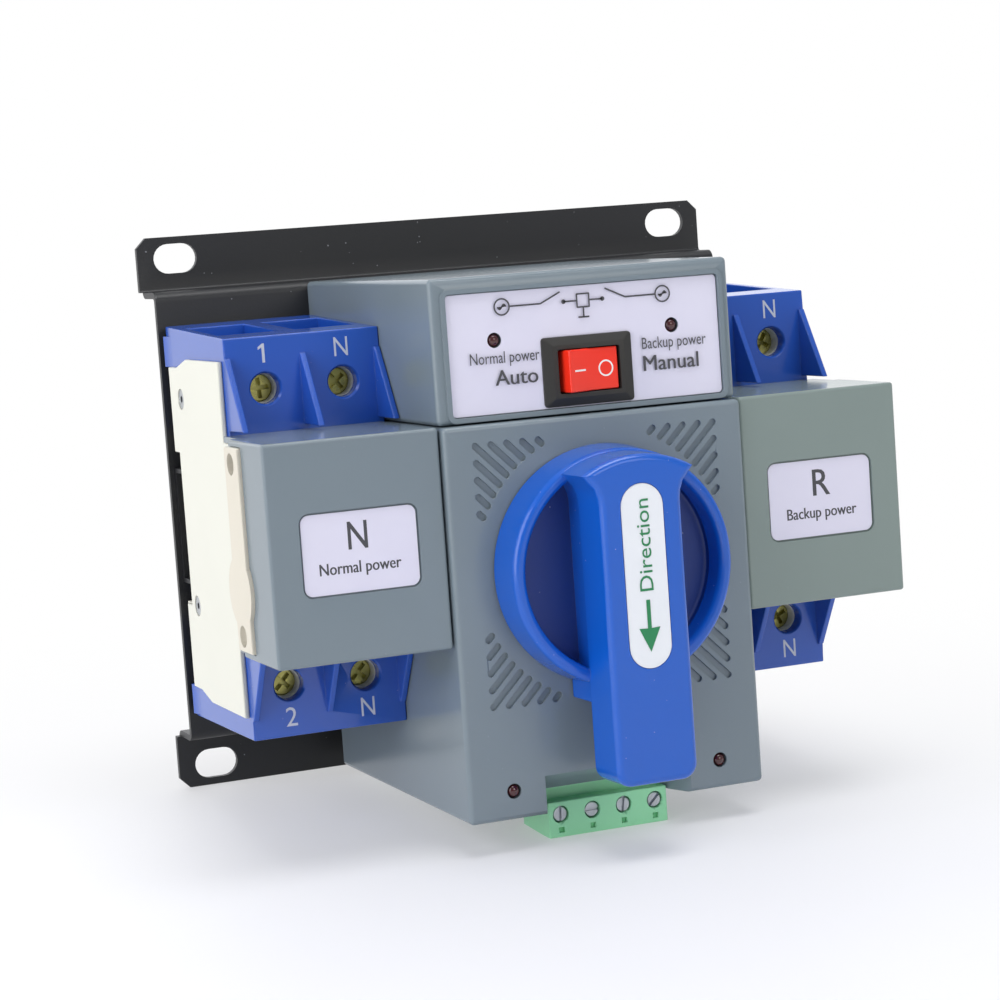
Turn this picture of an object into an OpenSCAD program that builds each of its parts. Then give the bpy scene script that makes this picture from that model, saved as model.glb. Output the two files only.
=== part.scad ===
// Two-pole transfer switch: two breakers on a folded steel plate, joined by a
// geared drive with a front handle, so that only one supply can be on at a time.
// X runs to the right, Y to the back, Z up. The origin is the centre of the four
// mounting slots, on the plane of the wall that the plate is bolted to.

/* [Mounting plate] */
// Width of the plate
plate_w = 147.4; // [146:0.1:160]
// Height of the plate
plate_h = 132.4; // [130:0.1:140]
// Thickness of the sheet
sheet_t = 1.5; // [1:0.1:2]
// How far the middle panel stands off the wall
panel_y = 11.5; // [8:0.1:12]
// Height of each flange that lies on the wall
flange_h = 12.8; // [12:0.1:16]
// Slot spacing across
slot_dx = 128.8; // [120:0.1:130]
// Slot spacing up
slot_dz = 122; // [118:0.1:124]
// Slot length, end to end
slot_len = 10.6; // [9:0.1:12]
// Slot width
slot_w = 7; // [5:0.1:7.5]

/* [Middle boxes] */
// Width of the drive casing
casing_w = 70.6; // [70:0.1:70.7]
// Distance from the wall to the casing's front
casing_front = 96; // [95:0.1:98]
// Bottom of the drive casing, below the origin
casing_low = 64.3; // [64:0.1:65.5]
// Seam between the drive casing and the control box
seam_z = 21.8; // [21.5:0.1:22]
// Top of the control box
box_top = 53.2; // [52:0.1:53.4]
// Distance from the wall to the control box's front
box_front = 93.6; // [92:0.1:95]
// Wall thickness of the casings
wall = 2; // [1.6:0.1:2.2]

/* [Breakers] */
// Width of one pole
pole_w = 18; // [17.6:0.1:18]
// Height of a breaker
breaker_h = 89.2; // [88:0.1:90]
// Height of a breaker's nose
nose_h = 45; // [44:0.1:45.2]
// Middle of the breakers, above the origin
breaker_z = -1.5; // [-2:0.1:-1]
// Distance from the wall to a breaker's back
breaker_back = 13.8; // [13.6:0.1:14]
// Distance from the wall to the terminal shoulders
shoulder_y = 60.1; // [59:0.1:61]
// Distance from the wall to the nose's front
nose_y = 78.5; // [78:0.1:79]
// Height of a terminal screw above the breaker's middle
screw_dz = 33; // [32:0.1:34]
// Screw well diameter
well_d = 6.8; // [6:0.1:7]

/* [Toggle covers] */
// Outer side of a cover, from the middle
cover_out = 75; // [74.8:0.1:75.2]
// Distance from the wall to a cover's front
cover_front = 94.4; // [94:0.1:95]
// Height of a cover
cover_h = 47.6; // [47.4:0.1:48]
// Wall thickness of a cover
cover_wall = 1.8; // [1.5:0.1:2]

/* [Handle] */
// Height of the handle's axis
axis_z = -11; // [-12:0.1:-10]
// Radius of the dish at its base
dish_r = 26.2; // [25:0.1:26.5]
// Distance from the wall to the dish's rim
rim_y = 107; // [106:0.1:108]
// Distance from the wall to the grip's front
grip_y = 117.5; // [116:0.1:119]
// Width of the grip
grip_w = 19.2; // [18:0.1:20]
// Reach of the arm below the axis
arm_reach = 45.5; // [44:0.1:46]

/* [Drive] */
// Gear module
gear_m = 0.8; // [0.8:0.1:0.8]
// Teeth on the handle shaft's gear
drive_teeth = 48; // [48:1:48]
// Teeth on the motor's pinion
motor_teeth = 16; // [16:1:16]
// Teeth on the pinion that moves the racks
rack_teeth = 10; // [10:1:10]
// Distance from a toggle's pivot to its tie bar
toggle_r = 15; // [15:0.1:15.2]

/* [Plug and lamps] */
// Pitch of the plug's terminals
plug_pitch = 7.62; // [7.5:0.01:7.62]
// Width of the plug
plug_w = 28.8; // [28:0.1:29]
// Height of the plug's terminal part
plug_h = 8; // [7.5:0.1:8.5]
// Distance from the wall to the plug's front
plug_y = 89; // [88.5:0.1:89.5]
// Diameter of the lamps
lamp_d = 3; // [3:0.1:3]

/* [Hidden] */
$fn = 48;
e = 0.01;
gap = 0.3;
fit = 0.05;
grey = [0.49, 0.55, 0.57];
blue = [0.13, 0.31, 0.75];
cream = [0.95, 0.94, 0.89];
black = [0.14, 0.14, 0.15];
green = [0.44, 0.73, 0.54];
paper = [0.86, 0.85, 0.93];
steel = [0.72, 0.73, 0.75];
brass = [0.78, 0.64, 0.30];
copper = [0.76, 0.45, 0.26];
fibre = [0.16, 0.38, 0.24];

casing_x = casing_w / 2;
breaker_in = casing_x + 0.15;
breaker_out = breaker_in + 2 * pole_w;
pole_xs = [breaker_in + pole_w / 2, breaker_in + 1.5 * pole_w];
nose_top = breaker_z + nose_h / 2;
shoulder_z = nose_h / 2 + 0.2;
cover_z = breaker_z - 0.4;
side_plate_t = 1.2;
rail_y = 19;
rail_half = 17.5;
clamp_front = 49;
clamp_back = 31;
toggle_y = 71;
tie_r = 1.5;
contact_y = 58;
contact_z = breaker_z - 2.5;
contact_len = 20;
shaft_r = 4;
seat_r = 2.5;
motor_z = axis_z - gear_m * (drive_teeth + motor_teeth) / 2;
rack_r = gear_m * rack_teeth / 2;
rack_travel = rack_r * PI / 2;
rack_front = 91.5;
rack_back = 86.5;
gear_front = 84;
gear_back = 79;
gear_plate_y = 76;
post_xs = [-28, 28];
post_zs = [-46, 14.5];
rocker_x = 0.2;
rocker_z = 31.2;
rocker_y = 92.4;
plug_top = -63.4;
board_y = 72;

// ---- shapes shared by the sub-parts ----

// a block between two corners
module block(low, high) {
    translate(low) cube(high - low);
}

// a drawing in X and Z, made solid from y_front to y_back
module along_y(y_front, y_back) {
    translate([0, y_back, 0]) rotate([90, 0, 0]) linear_extrude(y_back - y_front) children();
}

// a drawing in Y and Z, made solid from x_low to x_high
module along_x(x_low, x_high) {
    translate([x_low, 0, 0]) rotate([90, 0, 90]) linear_extrude(x_high - x_low) children();
}

// a round bar or hole along Y
module rod_y(x, z, r, y_front, y_back) {
    translate([x, y_back, z]) rotate([90, 0, 0]) cylinder(r = r, h = y_back - y_front);
}

// a round bar or hole along X
module rod_x(y, z, r, x_low, x_high) {
    translate([x_low, y, z]) rotate([0, 90, 0]) cylinder(r = r, h = x_high - x_low);
}

// a rectangle with round corners, about its middle
module rounded(w, h, r) {
    square([w - 2 * r, h], center = true);
    square([w, h - 2 * r], center = true);
    for (x = [-1, 1], z = [-1, 1])
        translate([x * (w / 2 - r), z * (h / 2 - r)]) circle(r);
}

// a slot with round ends along X, about its middle
module slot(length, width) {
    square([length - width, width], center = true);
    for (x = [-1, 1]) translate([x * (length - width) / 2, 0]) circle(width / 2);
}

// the right-hand breaker mirrors the left-hand one, which is drawn at minus X
module side(s) {
    if (s < 0) children();
    else mirror([1, 0, 0]) children();
}

// a breaker's upper end, or its lower end turned over about the breaker's middle
module breaker_end(up) {
    if (up > 0) children();
    else translate([0, 0, 2 * breaker_z]) mirror([0, 0, 1]) children();
}

// ---- gear teeth: involute flanks at 25 degrees, with 0.16 mm of backlash ----

pressure = 25;
backlash = 0.16;
function roll_off(a) = tan(a) * 180 / PI - a;
function flank_angle(pitch_r, r) =
    90 * (PI * gear_m / 2 - backlash) / (PI * pitch_r) + roll_off(pressure)
    - roll_off(acos(min(1, pitch_r * cos(pressure) / r)));
function polar(r, a) = [r * cos(a), r * sin(a)];
function gear_outline(teeth) =
    let (pitch_r = gear_m * teeth / 2,
         tip = pitch_r + 0.8 * gear_m,
         root = pitch_r - 1.05 * gear_m,
         start = max(root, pitch_r * cos(pressure)),
         steps = [0 : 4])
    [for (i = [0 : teeth - 1])
        let (mid = 360 * i / teeth,
             rise = [for (k = steps) start + (tip - start) * k / 4])
        each concat(
            [polar(root, mid - flank_angle(pitch_r, start))],
            [for (r = rise) polar(r, mid - flank_angle(pitch_r, r))],
            [for (k = steps) polar(rise[4 - k], mid + flank_angle(pitch_r, rise[4 - k]))],
            [polar(root, mid + flank_angle(pitch_r, start))])];

// ---- plate, rails and screws ----

module mounting_plate() color(black)
difference() {
    half = plate_h / 2;
    bend = half - flange_h;
    union() {
        for (s = [-1, 1]) mirror([0, 0, s < 0 ? 1 : 0]) {
            along_y(-sheet_t, 0) difference() {
                translate([-plate_w / 2, bend - sheet_t]) square([plate_w, flange_h + sheet_t]);
                for (x = [-1, 1])
                    translate([x * plate_w / 2, half]) rotate(45) square(3.6, center = true);
            }
            block([-plate_w / 2 + 1, -panel_y, bend - sheet_t], [plate_w / 2 - 1, 0, bend]);
        }
        block([-plate_w / 2 + 1, -panel_y, -bend], [plate_w / 2 - 1, -panel_y + sheet_t, bend]);
    }
    for (x = [-1, 1], z = [-1, 1])
        translate([x * slot_dx / 2, 0, z * slot_dz / 2]) along_y(-5, 5) slot(slot_len, slot_w);
    for (p = panel_holes) rod_y(p[0], p[1], 1.6, -panel_y - 1, 1);
}

rail_screw_x = breaker_in + pole_w;
box_post_zs = [28.5, 46.5];
casing_post_zs = [-47, -25];
panel_holes = [
    for (s = [-1, 1]) [s * rail_screw_x, breaker_z],
    for (s = [-1, 1], z = box_post_zs) [s * 29, z],
    for (s = [-1, 1], z = casing_post_zs) [s * 29, z]];

module din_rail(s) color(black) side(s)
difference() {
    along_x(-breaker_out, -breaker_in) {
        for (k = [-1, 1]) {
            translate([-rail_y, breaker_z + (k > 0 ? 12.5 : -rail_half)]) square([1, rail_half - 12.5]);
            translate([-rail_y, breaker_z + k * 13 - 0.5]) square([rail_y - panel_y, 1]);
        }
        translate([-panel_y - 1, breaker_z - 13.5]) square([1, 27]);
    }
    rod_y(-rail_screw_x, breaker_z, 1.6, -panel_y - 2, -panel_y + 1);
}

// a pan-head screw along Y, its head towards the front
module pan_screw(x, z, y_seat, length, head_r, shank_r) {
    rod_y(x, z, head_r, y_seat - 1.6, y_seat);
    rod_y(x, z, shank_r, y_seat - e, y_seat + length);
}

module case_screws() color(steel) {
    for (s = [-1, 1]) pan_screw(s * rail_screw_x, breaker_z, -panel_y - 1, 3.6, 3, 1.5);
    for (s = [-1, 1], z = concat(box_post_zs, casing_post_zs))
        translate([s * 29, 0, z]) mirror([0, 1, 0]) pan_screw(0, 0, panel_y - sheet_t, 8, 3, 1.5);
    for (x = post_xs, z = post_zs)
        translate([x, 0, z]) mirror([0, 1, 0]) pan_screw(0, 0, gear_plate_y - 1.5, 6, 2.6, 1.2);
}

// ---- middle boxes ----

// blind vent grooves: nine in each corner, all at 45 degrees, stopping round the handle
vent_pitch = 3.65;
vent_w = 1.5;
vent_far = 28.2;
vent_near = 30.3;
module vents() {
    for (sx = [-1, 1], sz = [-1, 1], i = [-4 : 4]) {
        p = [vent_far - max(0, i) * vent_pitch, vent_far + min(0, i) * vent_pitch];
        down = (p[0] + p[1]) / sqrt(2);
        length = down - sqrt(down * down - (p * p - vent_near * vent_near));
        translate([0, 0, axis_z]) along_y(-casing_front - 1, -casing_front + 0.7)
            scale([sx, sz]) translate(p) rotate(-135) {
                translate([0, -vent_w / 2]) square([length, vent_w]);
                circle(vent_w / 2, $fn = 24);
                translate([length, 0]) circle(vent_w / 2, $fn = 24);
            }
    }
}

// windows in a side wall, for the arm of a rack
module arm_window(x) {
    reach = rack_travel + 4.2;
    block([x - 4, -rack_front - 0.5, breaker_z - reach], [x + 4, -rack_back + 5.5, breaker_z + reach]);
}

recess_w = 34.8;
recess_top = -55.7;
recess_in_w = 29.8;
recess_in_top = -60;

module drive_casing() color(grey)
difference() {
    union() {
        difference() {
            block([-casing_x, -casing_front, -casing_low], [casing_x, -panel_y, seam_z - 0.1]);
            block([-casing_x + wall, -casing_front + wall, -casing_low + wall],
                  [casing_x - wall, 0, seam_z - wall]);
        }
        block([-20, -casing_front + e, -casing_low + e], [20, -72, recess_in_top + 4]);
        for (x = post_xs, z = post_zs) rod_y(x, z, 3.4, -casing_front + e, -gear_plate_y);
        for (s = [-1, 1], z = casing_post_zs) {
            rod_y(s * 29, z, 3.4, -34, -panel_y);
            block([s * 31 - 3, -34, z - 1], [s * 31 + 3, -panel_y, z + 1]);
        }
        rod_y(0, axis_z, 9, -casing_front + e, -casing_front + wall + 0.4);
    }
    vents();
    rod_y(0, axis_z, 6, -casing_front - 1, -casing_front + 5);
    for (s = [-1, 1]) {
        arm_window(s * casing_x);
        rod_y(s * 24.8, -58, lamp_d / 2 + 0.15, -casing_front - 1, -casing_front + 4);
    }
    for (x = post_xs, z = post_zs) rod_y(x, z, 1.2, -gear_plate_y - 8, -gear_plate_y + 1);
    for (s = [-1, 1], z = casing_post_zs) rod_y(s * 29, z, 1.5, -20, 0);
    hull() {
        block([-recess_w / 2, -casing_front - e, -casing_low - 5],
              [recess_w / 2, -casing_front, recess_top]);
        block([-recess_in_w / 2, -plug_y, -casing_low - 5],
              [recess_in_w / 2, -plug_y + e, recess_in_top]);
    }
    block([-recess_in_w / 2, -plug_y - e, -casing_low - 5], [recess_in_w / 2, -73.4, recess_in_top]);
    block([-15.3, -87, recess_in_top - 1], [15.3, -75, recess_in_top + 5]);
}

module control_box() color(grey)
difference() {
    union() {
        difference() {
            block([-casing_x, -box_front, seam_z + 0.1], [casing_x, -panel_y, box_top]);
            block([-casing_x + wall, -box_front + wall + 0.6, seam_z + wall],
                  [casing_x - wall, 0, box_top - wall]);
        }
        for (s = [-1, 1], z = box_post_zs) {
            rod_y(s * 29, z, 3.4, -34, -panel_y);
            block([s * 31 - 3, -34, z - 1], [s * 31 + 3, -panel_y, z + 1]);
        }
    }
    along_y(-box_front - 1, -box_front + 0.6) translate([0.3, 36.45]) rounded(64.4, 26.4, 1);
    block([rocker_x - 9.6, -box_front - 1, rocker_z - 6.6],
          [rocker_x + 9.6, -box_front + 5, rocker_z + 6.6]);
    for (s = [-1, 1]) rod_y(s * 21, 39.2, lamp_d / 2 + 0.15, -box_front - 1, -box_front + 5);
    for (s = [-1, 1], z = box_post_zs) rod_y(s * 29, z, 1.5, -20, 0);
    block([-12, -60, seam_z - 1], [12, -44, seam_z + 4]);
}

module control_label() color(paper)
along_y(-box_front + 0.25, -box_front + 0.58) difference() {
    translate([0.3, 36.45]) rounded(64, 26, 0.9);
    translate([rocker_x, rocker_z]) square([19.4, 13.4], center = true);
    for (s = [-1, 1]) translate([s * 21, 39.2]) circle(lamp_d / 2 + 0.15);
}

module lamp(x, z, y_tip) {
    translate([x, y_tip, z]) intersection() {
        translate([0, lamp_d / 2, 0]) sphere(lamp_d / 2);
        block([-3, -1, -3], [3, lamp_d / 2 + e, 3]);
    }
    rod_y(x, z, lamp_d / 2, y_tip + lamp_d / 2, y_tip + 4.6);
    rod_y(x, z, lamp_d / 2 + 0.4, y_tip + 4.6, y_tip + 5.4);
    for (s = [-1, 1]) rod_y(x + s * 0.9, z, 0.25, y_tip + 5.4 - e, y_tip + 14);
}

module upper_lamps() color("darkred") for (s = [-1, 1]) lamp(s * 21, 39.2, -box_front + 0.1);
module lower_lamps() color("darkred") for (s = [-1, 1]) lamp(s * 24.8, -58, -casing_front - 0.3);

// ---- rocker switch ----

rocker_open_w = 14.6;
rocker_open_h = 9.6;
module rocker_housing() color(black)
difference() {
    union() {
        along_y(-box_front - 1.2, -box_front + 0.25)
            translate([rocker_x, rocker_z]) rounded(21.2, 15.1, 0.8);
        block([rocker_x - 9.4, -box_front + e, rocker_z - 6.4],
              [rocker_x + 9.4, -78.2, rocker_z + 6.4]);
        for (x = [rocker_x - 5, rocker_x + 5])
            block([x - 0.4, -78.3, rocker_z - 2.4], [x + 0.4, -74.4, rocker_z + 2.4]);
    }
    block([rocker_x - rocker_open_w / 2, -box_front - 2, rocker_z - rocker_open_h / 2],
          [rocker_x + rocker_open_w / 2, -80, rocker_z + rocker_open_h / 2]);
    translate([rocker_x, -rocker_y, rocker_z - 6]) cylinder(r = 0.8, h = 12);
}

rocker_tilt = 12;
module rocker() color([0.9, 0.2, 0.12])
translate([rocker_x, -rocker_y, rocker_z]) rotate([0, 0, rocker_tilt]) {
    translate([0, 0, -4.6]) linear_extrude(9.2)
        polygon([[-6.4, -3.3], [0, -2.3], [6.4, -3.3], [6.2, 2], [3.4, 3.4], [-3.4, 3.4], [-6.2, 2]]);
    translate([0, 0, -5.6]) cylinder(r = 0.75, h = 11.2);
}

// ---- handle ----

module dish() {
    base = 96.4;
    depth = rim_y - base;
    translate([0, -base, axis_z]) rotate([90, 0, 0]) rotate_extrude($fn = 96)
        polygon([[0, 0], [dish_r, 0], [dish_r - 0.5, depth - 1.6], [dish_r - 1, depth - 0.4],
                 [dish_r - 1.7, depth], [dish_r - 2.3, depth - 0.2], [dish_r - 3.2, depth - 1.4],
                 [dish_r - 3.8, 4.4], [0, 4.4]]);
}

// the grip's front: an arched head, a straight bar and a long arm with round corners
module grip_outline(reach, corner) {
    head_r = dish_r - 0.8;
    tip = 13.2;
    intersection() {
        circle(head_r, $fn = 96);
        polygon([[-grip_w / 2, 0], [-grip_w / 2, 16], [-tip, 21.4], [-tip, head_r], [tip, head_r],
                 [tip, 21.4], [grip_w / 2, 16], [grip_w / 2, 0]]);
    }
    translate([-grip_w / 2, -reach + corner]) square([grip_w, reach - corner + 1]);
    translate([-grip_w / 2 + corner, -reach]) square([grip_w - 2 * corner, corner + 1]);
    for (s = [-1, 1]) translate([s * (grip_w / 2 - corner), -reach + corner]) circle(corner);
}

module handle() color(blue)
difference() {
    union() {
        dish();
        translate([0, 0, axis_z]) along_y(-grip_y, -rim_y + 0.5) grip_outline(arm_reach, 3.5);
        translate([0, 0, axis_z]) along_y(-rim_y + 0.4, -96.4) grip_outline(28.4, 0.5);
    }
    rod_y(0, axis_z, shaft_r + 0.02, -112, -96);
    translate([0, 0, axis_z - 0.85]) along_y(-grip_y - 1, -grip_y + 0.5) rotate(90) slot(39.6, 10);
}

module handle_label() color(paper)
translate([0, 0, axis_z - 0.85]) along_y(-grip_y + 0.1, -grip_y + 0.48) rotate(90) slot(39.3, 9.7);

// ---- shaft, gears, racks and motor ----

module drive_shaft() color(steel) {
    rod_y(0, axis_z, shaft_r, -111.8, -92.4);
    rod_y(0, axis_z, seat_r, -92.4 - e, -69.5);
}

module shaft_bushes() color(brass) {
    difference() {
        union() {
            rod_y(0, axis_z, 5.9, -casing_front + 0.1, -92.6);
            rod_y(0, axis_z, 7.4, -93.6, -92.6);
        }
        rod_y(0, axis_z, shaft_r + fit, -100, -90);
    }
    difference() {
        union() {
            rod_y(0, axis_z, 4.9, -gear_plate_y - 0.6, -74);
            rod_y(0, axis_z, 6.4, -gear_plate_y - 0.6, -gear_plate_y - 0.02);
        }
        rod_y(0, axis_z, seat_r + fit, -80, -70);
    }
}

module spur(teeth, y_front, y_back, bore) {
    along_y(y_front, y_back) difference() {
        polygon(gear_outline(teeth));
        circle(bore);
    }
}

module drive_gear() color("ivory")
translate([0, 0, axis_z]) {
    difference() {
        spur(drive_teeth, -gear_front, -gear_back, seat_r + 0.02);
        for (a = [0 : 60 : 300])
            rod_y(11.5 * cos(a), 11.5 * sin(a), 3.6, -gear_front - 1, -gear_back + 1);
    }
    difference() {
        rod_y(0, 0, 6, -gear_front - 1.6, -gear_front + e);
        rod_y(0, 0, seat_r + 0.02, -gear_front - 3, -gear_front + 1);
    }
}

module rack_pinion() color(steel)
translate([0, 0, axis_z]) spur(rack_teeth, -rack_front, -rack_back, seat_r + 0.02);

module limit_cam() color("ivory")
translate([0, 0, axis_z]) along_y(-73.4, -70.4) difference() {
    union() {
        circle(6.4);
        translate([-1.6, -10.4]) square([3.2, 7]);
    }
    circle(seat_r + 0.02);
}

module motor_pinion() color(brass)
translate([0, 0, motor_z]) {
    along_y(-gear_front, -gear_back) rotate(180 / motor_teeth) difference() {
        polygon(gear_outline(motor_teeth));
        circle(2);
    }
    rod_y(0, 0, 2, -gear_front - 1, -68);
}

module motor_body() color(steel)
translate([0, 0, motor_z]) difference() {
    union() {
        rod_y(0, 0, 13.4, -74.4, -66);
        rod_y(0, 0, 12, -66 - e, -44);
        for (s = [-1, 1]) block([s * 15 - 4, -74.4, -3.5], [s * 15 + 4, -72.8, 3.5]);
        rod_y(0, 0, 4, -44 - e, -42);
    }
    rod_y(0, 0, 2 + fit, -80, -67);
    for (s = [-1, 1]) rod_y(s * 16.4, 0, 1.3, -80, -70);
}

module gear_plate() color(steel)
difference() {
    block([-31.5, -gear_plate_y, -50], [31.5, -gear_plate_y + 1.5, 18.5]);
    rod_y(0, axis_z, 4.92, -80, -70);
    rod_y(0, motor_z, 3, -80, -70);
    for (x = post_xs, z = post_zs) rod_y(x, z, 1.3, -80, -70);
    for (s = [-1, 1]) rod_y(s * 16.4, motor_z, 1.3, -80, -70);
}

// a rack, its arm and the jaw that holds the toggles' tie bar; drawn for the left-hand side
tooth_p = PI * gear_m;
module rack_tooth() {
    half_tip = (tooth_p / 2 - backlash) / 2 - 0.64 * tan(pressure);
    half_root = (tooth_p / 2 - backlash) / 2 + 0.84 * tan(pressure);
    polygon([[0.64, -half_tip], [0.64, half_tip], [-0.84 - e, half_root], [-0.84 - e, -half_root]]);
}

module rack(s) color("ivory") side(s) {
    jaw = tie_r + 0.35;
    along_y(-rack_front, -rack_back) {
        translate([-8.2, axis_z - 11]) square([8.2 - rack_r - 0.84, 15 + breaker_z - axis_z]);
        for (k = [-4 : 3]) translate([-rack_r, axis_z + (k + 0.5) * tooth_p]) rack_tooth();
    }
    block([-39.6, -rack_front, breaker_z - 2.6], [-8, -rack_back - 1.8, breaker_z + 2.6]);
    for (k = [-1, 1]) {
        low = k > 0 ? jaw : -jaw - 1.5;
        block([-39.6, -rack_front, breaker_z + low], [-36.5, -82.2, breaker_z + low + 1.5]);
    }
}

// a plate behind the casing's front with rails that keep the racks against their pinion
module rack_guide() color(black)
difference() {
    union() {
        block([-14, -94, -32], [14, -92.2, 12]);
        for (s = [-1, 1]) {
            block([s * 10 - 1.3, -92.3, -32], [s * 10 + 1.3, -86.6, -12]);
            block([-2.9, -92.3, s < 0 ? -32 : -5.4], [2.9, -86.6, s < 0 ? -16.6 : 12]);
        }
    }
    rod_y(0, axis_z, 9.1, -95, -92);
}

module limit_switches() color(black)
for (s = [-1, 1]) {
    block([s * 17 - 4.5, -74.4, axis_z - 9.8], [s * 17 + 4.5, -68.2, axis_z + 9.8]);
    block([s * 12.2 - 0.6, -73, axis_z + 2], [s * 12.2 + 0.6, -70, axis_z + 4]);
    block([s * 11 - 0.25, -73.4, axis_z - 8], [s * 11 + 0.25, -70.4, axis_z + 6.4]);
    for (k = [-6, 0, 6])
        block([s * 23 - 1.8, -72.4, axis_z + k - 1.5], [s * 23 + 1.8, -71.8, axis_z + k + 1.5]);
}

// ---- electronics ----

module control_board() color(fibre) {
    block([-31, -board_y, 25], [31, -board_y + 1.6, 50.2]);
    block([-19, -88, -50.6], [19, -gear_plate_y - 0.3, -49]);
}

module relays() color("royalblue")
for (x = [-20, -3]) block([x - 7.6, -board_y + 1.6, 28], [x + 7.6, -board_y + 17, 47.4]);

module transformer() color([0.3, 0.3, 0.32]) {
    block([8, -board_y + 1.6, 28], [28, -board_y + 5, 47]);
    block([8, -board_y + 5 - e, 31], [28, -board_y + 17, 44]);
    block([11, -board_y + 7, 28], [25, -board_y + 15, 47]);
}

// ---- control plug ----

pin_xs = [for (i = [0 : 3]) (i - 1.5) * plug_pitch];
module terminal_header() color(green)
difference() {
    union() {
        block([-15.1, -86.8, recess_in_top - 0.8], [15.1, -75.2, -50.7]);
        for (x = pin_xs) block([x - 0.5, -81.5, plug_top + 1.6], [x + 0.5, -80.5, -50.8]);
    }
    difference() {
        block([-14, -85.7, recess_in_top - 2], [14, -76.3, -52.4]);
        for (x = pin_xs) block([x - 0.5, -81.5, plug_top - 1], [x + 0.5, -80.5, -50.8]);
    }
}

module control_plug() color(green)
difference() {
    union() {
        block([-plug_w / 2, -plug_y, plug_top - plug_h], [plug_w / 2, -plug_y + 15, plug_top]);
        block([-13.7, -85.4, plug_top - e], [13.7, -76.6, -53]);
    }
    for (x = pin_xs) {
        rod_y(x, plug_top - 2.9, 1.95, -plug_y - 1, -plug_y + 4);
        block([x - 0.7, -plug_y - 1, plug_top - 7], [x + 0.7, -plug_y + 1, plug_top - 5.8]);
        block([x - 2.5, -plug_y + 4.6, plug_top - plug_h - 1], [x + 2.5, -plug_y + 10.2, plug_top - 0.6]);
        block([x - 0.9, -81.9, plug_top - 1], [x + 0.9, -80.1, -50]);
    }
}

module plug_screws() color(steel)
for (i = [0 : 3]) difference() {
    rod_y(pin_xs[i], plug_top - 2.9, 1.75, -plug_y + 0.5, -plug_y + 3.9);
    translate([pin_xs[i], -plug_y, plug_top - 2.9]) rotate([0, [55, 100, 120, 40][i], 0])
        block([-2, -1, -0.25], [2, 1.2, 0.25]);
}

// ---- breakers ----

// the side plate's nose, and the raised strip on it with a round boss over the trip lever
plate_nose_low = -24;
plate_nose_top = 20.4;
module nose_outline(grow, reach = 21) {
    translate([-78.8 - grow, plate_nose_low - grow])
        square([reach, plate_nose_top - plate_nose_low + 2 * grow]);
    translate([-73.1, -11]) circle(8 + grow, $fn = 96);
}

// outline of the cream side plate, from its upper back corner round to the back
plate_end = 37.6;
function plate_half() = [
    [-17.6, plate_end], [-24, plate_end], [-32, 39.6], [-58.2, 39.6], [-58.2, nose_h / 2]];

module side_plate(s) color(cream) side(s)
difference() {
    upper = plate_half();
    lower = [for (i = [len(upper) - 1 : -1 : 0]) [upper[i][0], -upper[i][1]]];
    union() {
        along_x(-breaker_out - side_plate_t, -breaker_out)
            translate([0, breaker_z]) polygon(concat(upper, lower));
        along_x(-breaker_out - side_plate_t, -breaker_out) nose_outline(0);
        along_x(-cover_out - 0.8, -breaker_out - e) nose_outline(0, 9.8);
    }
    along_x(-breaker_out - 3, -breaker_out + 1)
        translate([-rail_y - 2.5, breaker_z - rail_half - 0.3]) square([12, 2 * rail_half + 0.6]);
    for (p = rivet_points) rod_x(p[0], p[1], 2.4, -cover_out - 2, -breaker_out - rivet_floor(p));
    for (p = rivet_points) rod_x(p[0], p[1], 1.3, -cover_out - 2, -breaker_out + 1);
}

rivet_points = [
    [-26.4, breaker_z + 30.4], [-26.4, breaker_z - 17.6],
    [-73.4, breaker_z + 18.3], [-73, breaker_z - 19.1]];

// height of the floor that a rivet's head rests on: deeper on the thick nose
function rivet_floor(p) = p[0] < -60 ? 1.3 : 0.4;

module rivets(s) color(steel) side(s)
for (p = rivet_points) {
    floor_x = -breaker_out - rivet_floor(p) - 0.02;
    difference() {
        union() {
            rod_x(p[0], p[1], 1.25, floor_x - 0.6, -breaker_out + 1.4);
            rod_x(p[0], p[1], 2.2, floor_x - 0.6, floor_x);
        }
        rod_x(p[0], p[1], 0.8, floor_x - 2, -breaker_out + 1);
    }
}

// the cream middle of a breaker: two hollow poles with the rail's recess behind them
module breaker_case(s) color(cream) side(s)
difference() {
    along_x(-breaker_out, -breaker_in) difference() {
        translate([-nose_y, breaker_z - nose_h / 2]) square([nose_y - breaker_back, nose_h]);
        translate([-rail_y - fit, breaker_z - rail_half - 0.3]) square([rail_y, 2 * rail_half + 0.6]);
    }
    for (x = pole_xs) {
        block([-x - 7.4, -nose_y + 2, breaker_z - 20.5], [-x + 7.4, -22, breaker_z + 20.5]);
        block([-x - 4.4, -nose_y - 1, breaker_z - 11], [-x + 4.4, -nose_y + 3, breaker_z + 11]);
        block([-x - 5.4, -rail_y - 0.1, -100], [-x + 5.4, 0, breaker_z - rail_half]);
    }
    rod_x(-toggle_y, breaker_z, 1.55, -breaker_out + 0.6, -breaker_in - 0.6);
    rod_x(-contact_y, contact_z, 1.05, -breaker_out + 0.6, -breaker_in - 0.6);
    for (p = rivet_points) if (p[1] < nose_top)
        rod_x(p[0], p[1], 1.3, -breaker_out - 1, -breaker_out + 7);
}

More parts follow.
